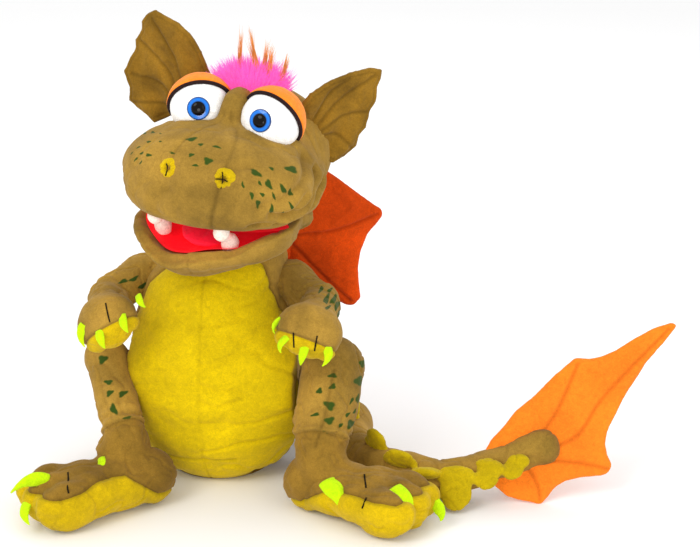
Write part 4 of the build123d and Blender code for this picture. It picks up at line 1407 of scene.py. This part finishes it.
# rim: height of the sole's edge along the foot; claws and spots as for the hands
LEGS = {
    "right": dict(heel=(-49, -113, 0), front=-100, seam_shade=0.4, knee=23, side=-1,
                  shin=(21, 21.5, 21), thigh=(25, 24, 23),
                  rim=((-30, 12), (0, 17), (16, 31), (34, 45), (60, 46), (84, 42), (130, 39)),
                  claws=[((-134, -166, 42), (-158, -190, 37), 15, (0.2, 0, 1), (0, 0, 5), 0.6),
                         ((-147, -180, 20), (-139, -196, 8), 12, (1, -0.3, 0.3), (-3, 0, 0), 0.5),
                         ((-87, -134, 49), (-78, -149, 30), 10, (1, -0.4, 0.4), (0, -3, 2), 0.6)],
                  slits=[((-114, -150, 44), (-106, -166, 32))],
                  spots=[(-97, 141, 6, 4.5, 30), (-90, 118, 5.5, 2.6, 0), (-88, 107, 5, 3, 40),
                         (-75, 107, 5.5, 3, 30), (-83, 91, 7, 3.6, 120), (-69, 83, 5, 2, 10),
                         (-76, 75, 5, 2.6, 20), (-65, 65, 4.5, 3.4, 0)]),
    "left": dict(heel=(118, -98, 0), front=-90, seam_shade=0.8, knee=32, side=1,
                 shin=(31, 31, 29), thigh=(28, 29, 31),
                 rim=((-30, 11), (0, 14), (20, 29), (40, 39), (80, 42), (130, 42)),
                 claws=[((141, -140, 44), (153, -155, 29), 20, (1, 0.1, 0.1), (3, -3, 2), 0.4),
                        ((206, -140, 42), (222, -152, 22), 20, (1, 0.1, 0.1), (3, -3, 2), 0.4),
                        ((243, -128, 26), (249, -137, 12), 12, (0.6, 0.3, 0.6), (3, -2, 0), 0.5)],
                 slits=[((173, -128, 52), (176, -136, 43)), ((177, -140, 36), (173, -142, 26))],
                 spots=[(135, 136, 5.5, 2.4, 0), (122, 120, 4, 3, 40), (135, 125, 4.5, 2.8, 30),
                        (132, 106, 7, 4.5, -30), (118, 96, 5.5, 1.7, 15), (132, 91, 6, 4, 10),
                        (127, 77, 4.5, 3.4, 0), (165, 149, 4.5, 4, 60), (161, 131, 5.5, 5, 60),
                        (154, 111, 5, 1.5, 60), (160, 113, 5.5, 2, 80), (150, 97, 3.6, 1.8, 40),
                        (153, 87, 5.5, 4, 60), (143, 86, 3.6, 2, 60), (157, 100, 3.4, 1.4, 60)])}


def legs():
    """Each leg is one skin, cut at the knee, at the ankle and round the sole."""
    for side, leg in LEGS.items():
        s = leg["side"]
        hip, knee, ankle = (pivot(side + "_" + k) for k in ("hip", "knee", "ankle"))
        axis = Vector(hinge[side + "_ankle"]["axis"])
        d = np.array(Vector((0, 0, 1)).cross(axis).normalized())
        heel = np.array(leg["heel"], float)
        out = np.array((-d[1], d[0], 0))
        k0, k1, k2 = leg["thigh"]
        s0, s1, s2 = leg["shin"]
        mid1, mid2 = hip * 0.5 + knee * 0.5, knee * 0.5 + ankle * 0.5
        shapes = [tube([(*(hip + (-s * 18, 4, 0)), 20), (*hip, k0), (*mid1, k1),
                        (*(knee * 0.85 + hip * 0.15), k2)]),
                  ball(knee + (0, 0, -1), leg["knee"]),
                  tube([(*knee, leg["knee"] * 0.96), (*(knee * 0.72 + ankle * 0.28), s0),
                        (*mid2, s1), (*(knee * 0.2 + ankle * 0.8), s2), (*ankle, 24),
                        (*(ankle + d * 6 + (0, 0, -18)), 27)], n=60)]
        place = basis(d, out, (0, 0, 1))
        for x, y, z, semi in FOOT:
            shapes.append(ball(heel + d * x + out * y + (0, 0, z), semi, turn=place))
        ob = soft(side + "_leg", shapes, voxel=3.0, smooth=6)
        chain = [hip, knee, ankle, heel + d * 70 + (0, 0, 22)]
        co = points(ob)
        pos = along_chain(co, chain)
        local = np.stack([(co - heel) @ d, (co - heel) @ out, co[:, 2]], -1)
        rim = np.array(leg["rim"], float)
        level = np.interp(local[:, 0], rim[:, 0], rim[:, 1]) + 1.5 * rumple(co, 30, 4)
        zone = np.where((pos > 1.9) & (co[:, 2] < 60), level - co[:, 2], -6.0)
        on_foot = step(1.7, 2.05, pos)
        gap = np.zeros(len(co))
        for y in (-12.5, 13):
            line = [(134, y, 34), (112, y, 47), (84, y * 1.05, 54), (66, y, 56)]
            low_line = [(134, y, 30), (122, y, 6), (90, y, 0)]
            near = np.minimum(away(local, rounded(line, 24)), away(local, low_line))
            gap = np.maximum(gap, groove(near, 3.4))
        shin_line = rounded([tuple(knee + np.array((s * 6, -leg["knee"] * 0.95, 8))),
                             tuple(mid2 + np.array((s * 4, -s1, 4))),
                             tuple(ankle + np.array((0, -24, 16)))], 30)
        side_seam = leg["seam_shade"] * groove(away(co, snapped(tree_of(ob), shin_line)), 1.5)
        ankle_ring = groove((pos - SPLIT) * np.linalg.norm(ankle - knee), 1.6)
        seam_shade = np.maximum.reduce([groove(zone, 1.7) * on_foot, side_seam, 0.75 * ankle_ring])
        pucker = groove(zone, 11) * on_foot

        def relief(co):
            wave = rumple(co, (34, 34, 26), 5 + s) * 1.3 + rumple(co, 13, 6) * 0.4
            line = folds(co + 7 * rumple(co, 34, 8)[:, None], (44, 30, 34), 9 + s) * 1.8
            crump = np.sin((pos - 1.8) * 42 + 3 * rumple(co, 20, 3)) * groove(pos - 1.8, 0.16) * 1.3
            return (wave + line - seam_shade * 2.0 - gap * 3.2 + crump
                    + pucker * 0.8 * np.sin(local[:, 0] / 4.6 + 2 * rumple(co, 24, 2))
                    + 1.8 * groove(zone - 9, 8) * on_foot)

        push(ob, relief)
        co = points(ob)
        co[:, 2] = np.maximum(co[:, 2], 0.4)
        past = THIGH_SIDE - np.abs(co[:, 0])
        pressed = (pos < 1.35) & (past > 0) & (co[:, 1] > -56)
        co[:, 0] = np.where(pressed, s * (THIGH_SIDE - past * 0.10), co[:, 0])
        set_points(ob, co)
        # painted shade along the sole's seam, the shin's seam and the ankle, and between the toes
        field(ob, "seam_shade", np.clip(seam_shade * 0.75 + 0.25 * gap, 0, 1))
        tree = tree_of(ob)
        field(ob, "spot", blots(co, painted(tree, leg["spots"], leg["front"], (0.85, 0.9))))
        field(ob, "zone", zone)
        thigh = stretch(ob, side + "_t", chain, 0, 0.5)
        shin = stretch(ob, side + "_s", chain, 0.5, SPLIT)
        foot = stretch(ob, side + "_f", chain, SPLIT, 4)
        u, v = unit(knee - hip), unit(ankle - knee)
        dress(thigh, side + "_thigh_sleeve", OLIVE, cover=(side + "_thigh",),
              bend=("trunk", side + "_thigh", hip - (s * 16, 0, 0), hip + (s * 4, -6, 6)))
        dress(shin, side + "_shin_sleeve", OLIVE, cover=(side + "_shin",),
              bend=(side + "_thigh", side + "_shin", knee - u * 12, knee + v * 12))
        upper, sole = cut_along(foot, "zone")
        bend = (side + "_shin", side + "_foot", ankle - v * 12, ankle + np.array((0, 0, -6)) + d * 6)
        dress(upper, side + "_foot_upper", BOOT, cover=(side + "_foot",),
              bend=bend)
        dress(sole, side + "_foot_sole", SOLE, cover=(side + "_sole",),
              bend=bend)
        bpy.data.objects.remove(ob)
        nails(tree, side, "_foot", "_toe", leg["claws"], 0.3, 6)
        slits(tree, side, "_foot", "_toe", leg["slits"], 0.8)


# ---------------------------------------------------------------- tail
def tail():
    """The tail is one skin, cut where it bends."""
    root, b1, b2, end = (pivot(k) for k in ("tail_root_swing", "tail_middle_swing",
                                            "tail_tip_swing", "tail_fin_roll"))
    spread, c1, c2 = (np.array(p, float) for p in ((60, 108, 25), (122, 78, 23), (172, -38, 22)))
    shapes = [tube([(*(root + (0, -16, 2)), 18), (*root, 20), (*spread, 21.5), (*c1, 21.5),
                    (*b1, 21), (*c2, 20.5), (*(c2 * 0.5 + b2 * 0.5), 20), (*b2, 19.5),
                    (*(b2 * 0.5 + end * 0.5 + (0, 0, -3)), 17.5), (*end, 17)], n=160, segs=40),
              ball(end + (3, 0, 1), (19, 18, 18.5)), ball(root, (20, 18, 20))]
    ob = soft("tail", shapes, voxel=2.8, smooth=6)
    chain = [root, spread, c1, b1, c2, b2, end]
    co = points(ob)
    under = rounded(chain, 160) + (0, 0, -19)
    seam_shade = groove(away(co, under), 1.6) * 0.7

    def relief(co):
        return (rumple(co, (40, 40, 26), 3) * 1.3 + rumple(co, 14, 6) * 0.45 - seam_shade * 1.6
                + folds(co + 6 * rumple(co, 30, 8)[:, None], (34, 34, 60), 4) * 1.7)

    push(ob, relief)
    co = points(ob)
    co[:, 2] = np.maximum(co[:, 2], 0.6)
    set_points(ob, co)
    # painted shade along the seam underneath
    field(ob, "seam_shade", seam_shade * 0.7)
    field(ob, "spot", np.full(len(co), BLANK))
    one, two, three = (stretch(ob, "length", chain, *part) for part in ((0, 2), (2, 4), (4, 9)))
    bpy.data.objects.remove(ob)
    dress(one, "tail_root_sleeve", OLIVE, cover=("tail_base",),
          bend=("trunk", "tail_base", root + (-4, -10, 0), root + (14, 6, 0)))
    dress(two, "tail_middle_sleeve", OLIVE, cover=("tail_middle",),
          bend=("tail_base", "tail_middle", b1 + (0, 14, 0), b1 + (2, -14, 0)))
    dress(three, "tail_tip_sleeve", OLIVE, cover=("tail_tip",),
          bend=("tail_middle", "tail_tip", b2 + (-15, 1, 0), b2 + (15, 3, 2)))


# ridge plates: body, base, the way each grows, the way it is wide, half width, height and
# thickness; they turn from the top of the tail to its front
RIDGES = (("tail_base", (126, 52, 42), (0.2, -0.35, 1), (0.6, -0.8, -0.1), 24, 33, 12),
          ("tail_middle", (170, -34, 42), (0.0, -0.35, 1), (0.75, -0.6, 0), 17, 20, 10),
          ("tail_middle", (198, -62, 40), (0.0, -0.6, 1), (1, -0.2, 0), 19, 15, 10),
          ("tail_middle", (226, -74, 34), (0.0, -0.9, 0.4), (1, 0, 0), 18, 13, 10),
          ("tail_tip", (256, -74, 32), (0.03, -0.5, -0.85), (1, 0, 0.1), 21, 32, 12),
          ("tail_tip", (288, -62, 40), (-0.2, -0.6, -0.6), (0.9, 0.3, 0.4), 16, 24, 12),
          ("tail_tip", (313, -52, 44), (-0.2, -0.65, -0.5), (0.85, 0.3, 0.5), 15, 21, 11))


def ridges():
    """The padded lobes sewn along the tail."""
    made = {}
    for body, base, grow, wide, half, tall, thick in RIDGES:
        grow = unit(grow)
        wide = unit(wide - grow * (wide @ grow))
        turn = basis(wide, np.cross(grow, wide), grow)
        made.setdefault(body, []).extend([
            ball(base, (half, thick * 0.6, half * 0.55), turn=turn),
            ball(base + grow * tall * 0.45, (half * 0.8, thick * 0.5, tall * 0.62), turn=turn)])
    for body, shapes in made.items():
        ob = soft(body + "_ridge", shapes, voxel=1.8, smooth=5)
        push(ob, lambda co: 0.6 * rumple(co, 10, 4) + 0.8 * folds(co, 20, 5))
        dress(ob, body + "_ridge_pads", PLATE, body, cover=(body + "_plates",))


camera()
studio()
trunk()
seat()
hem()
neck()
head()
eyes()
hair()
mouth()
ears()
wings()
arms()
legs()
tail()
ridges()
fin()
bpy.context.view_layer.update()
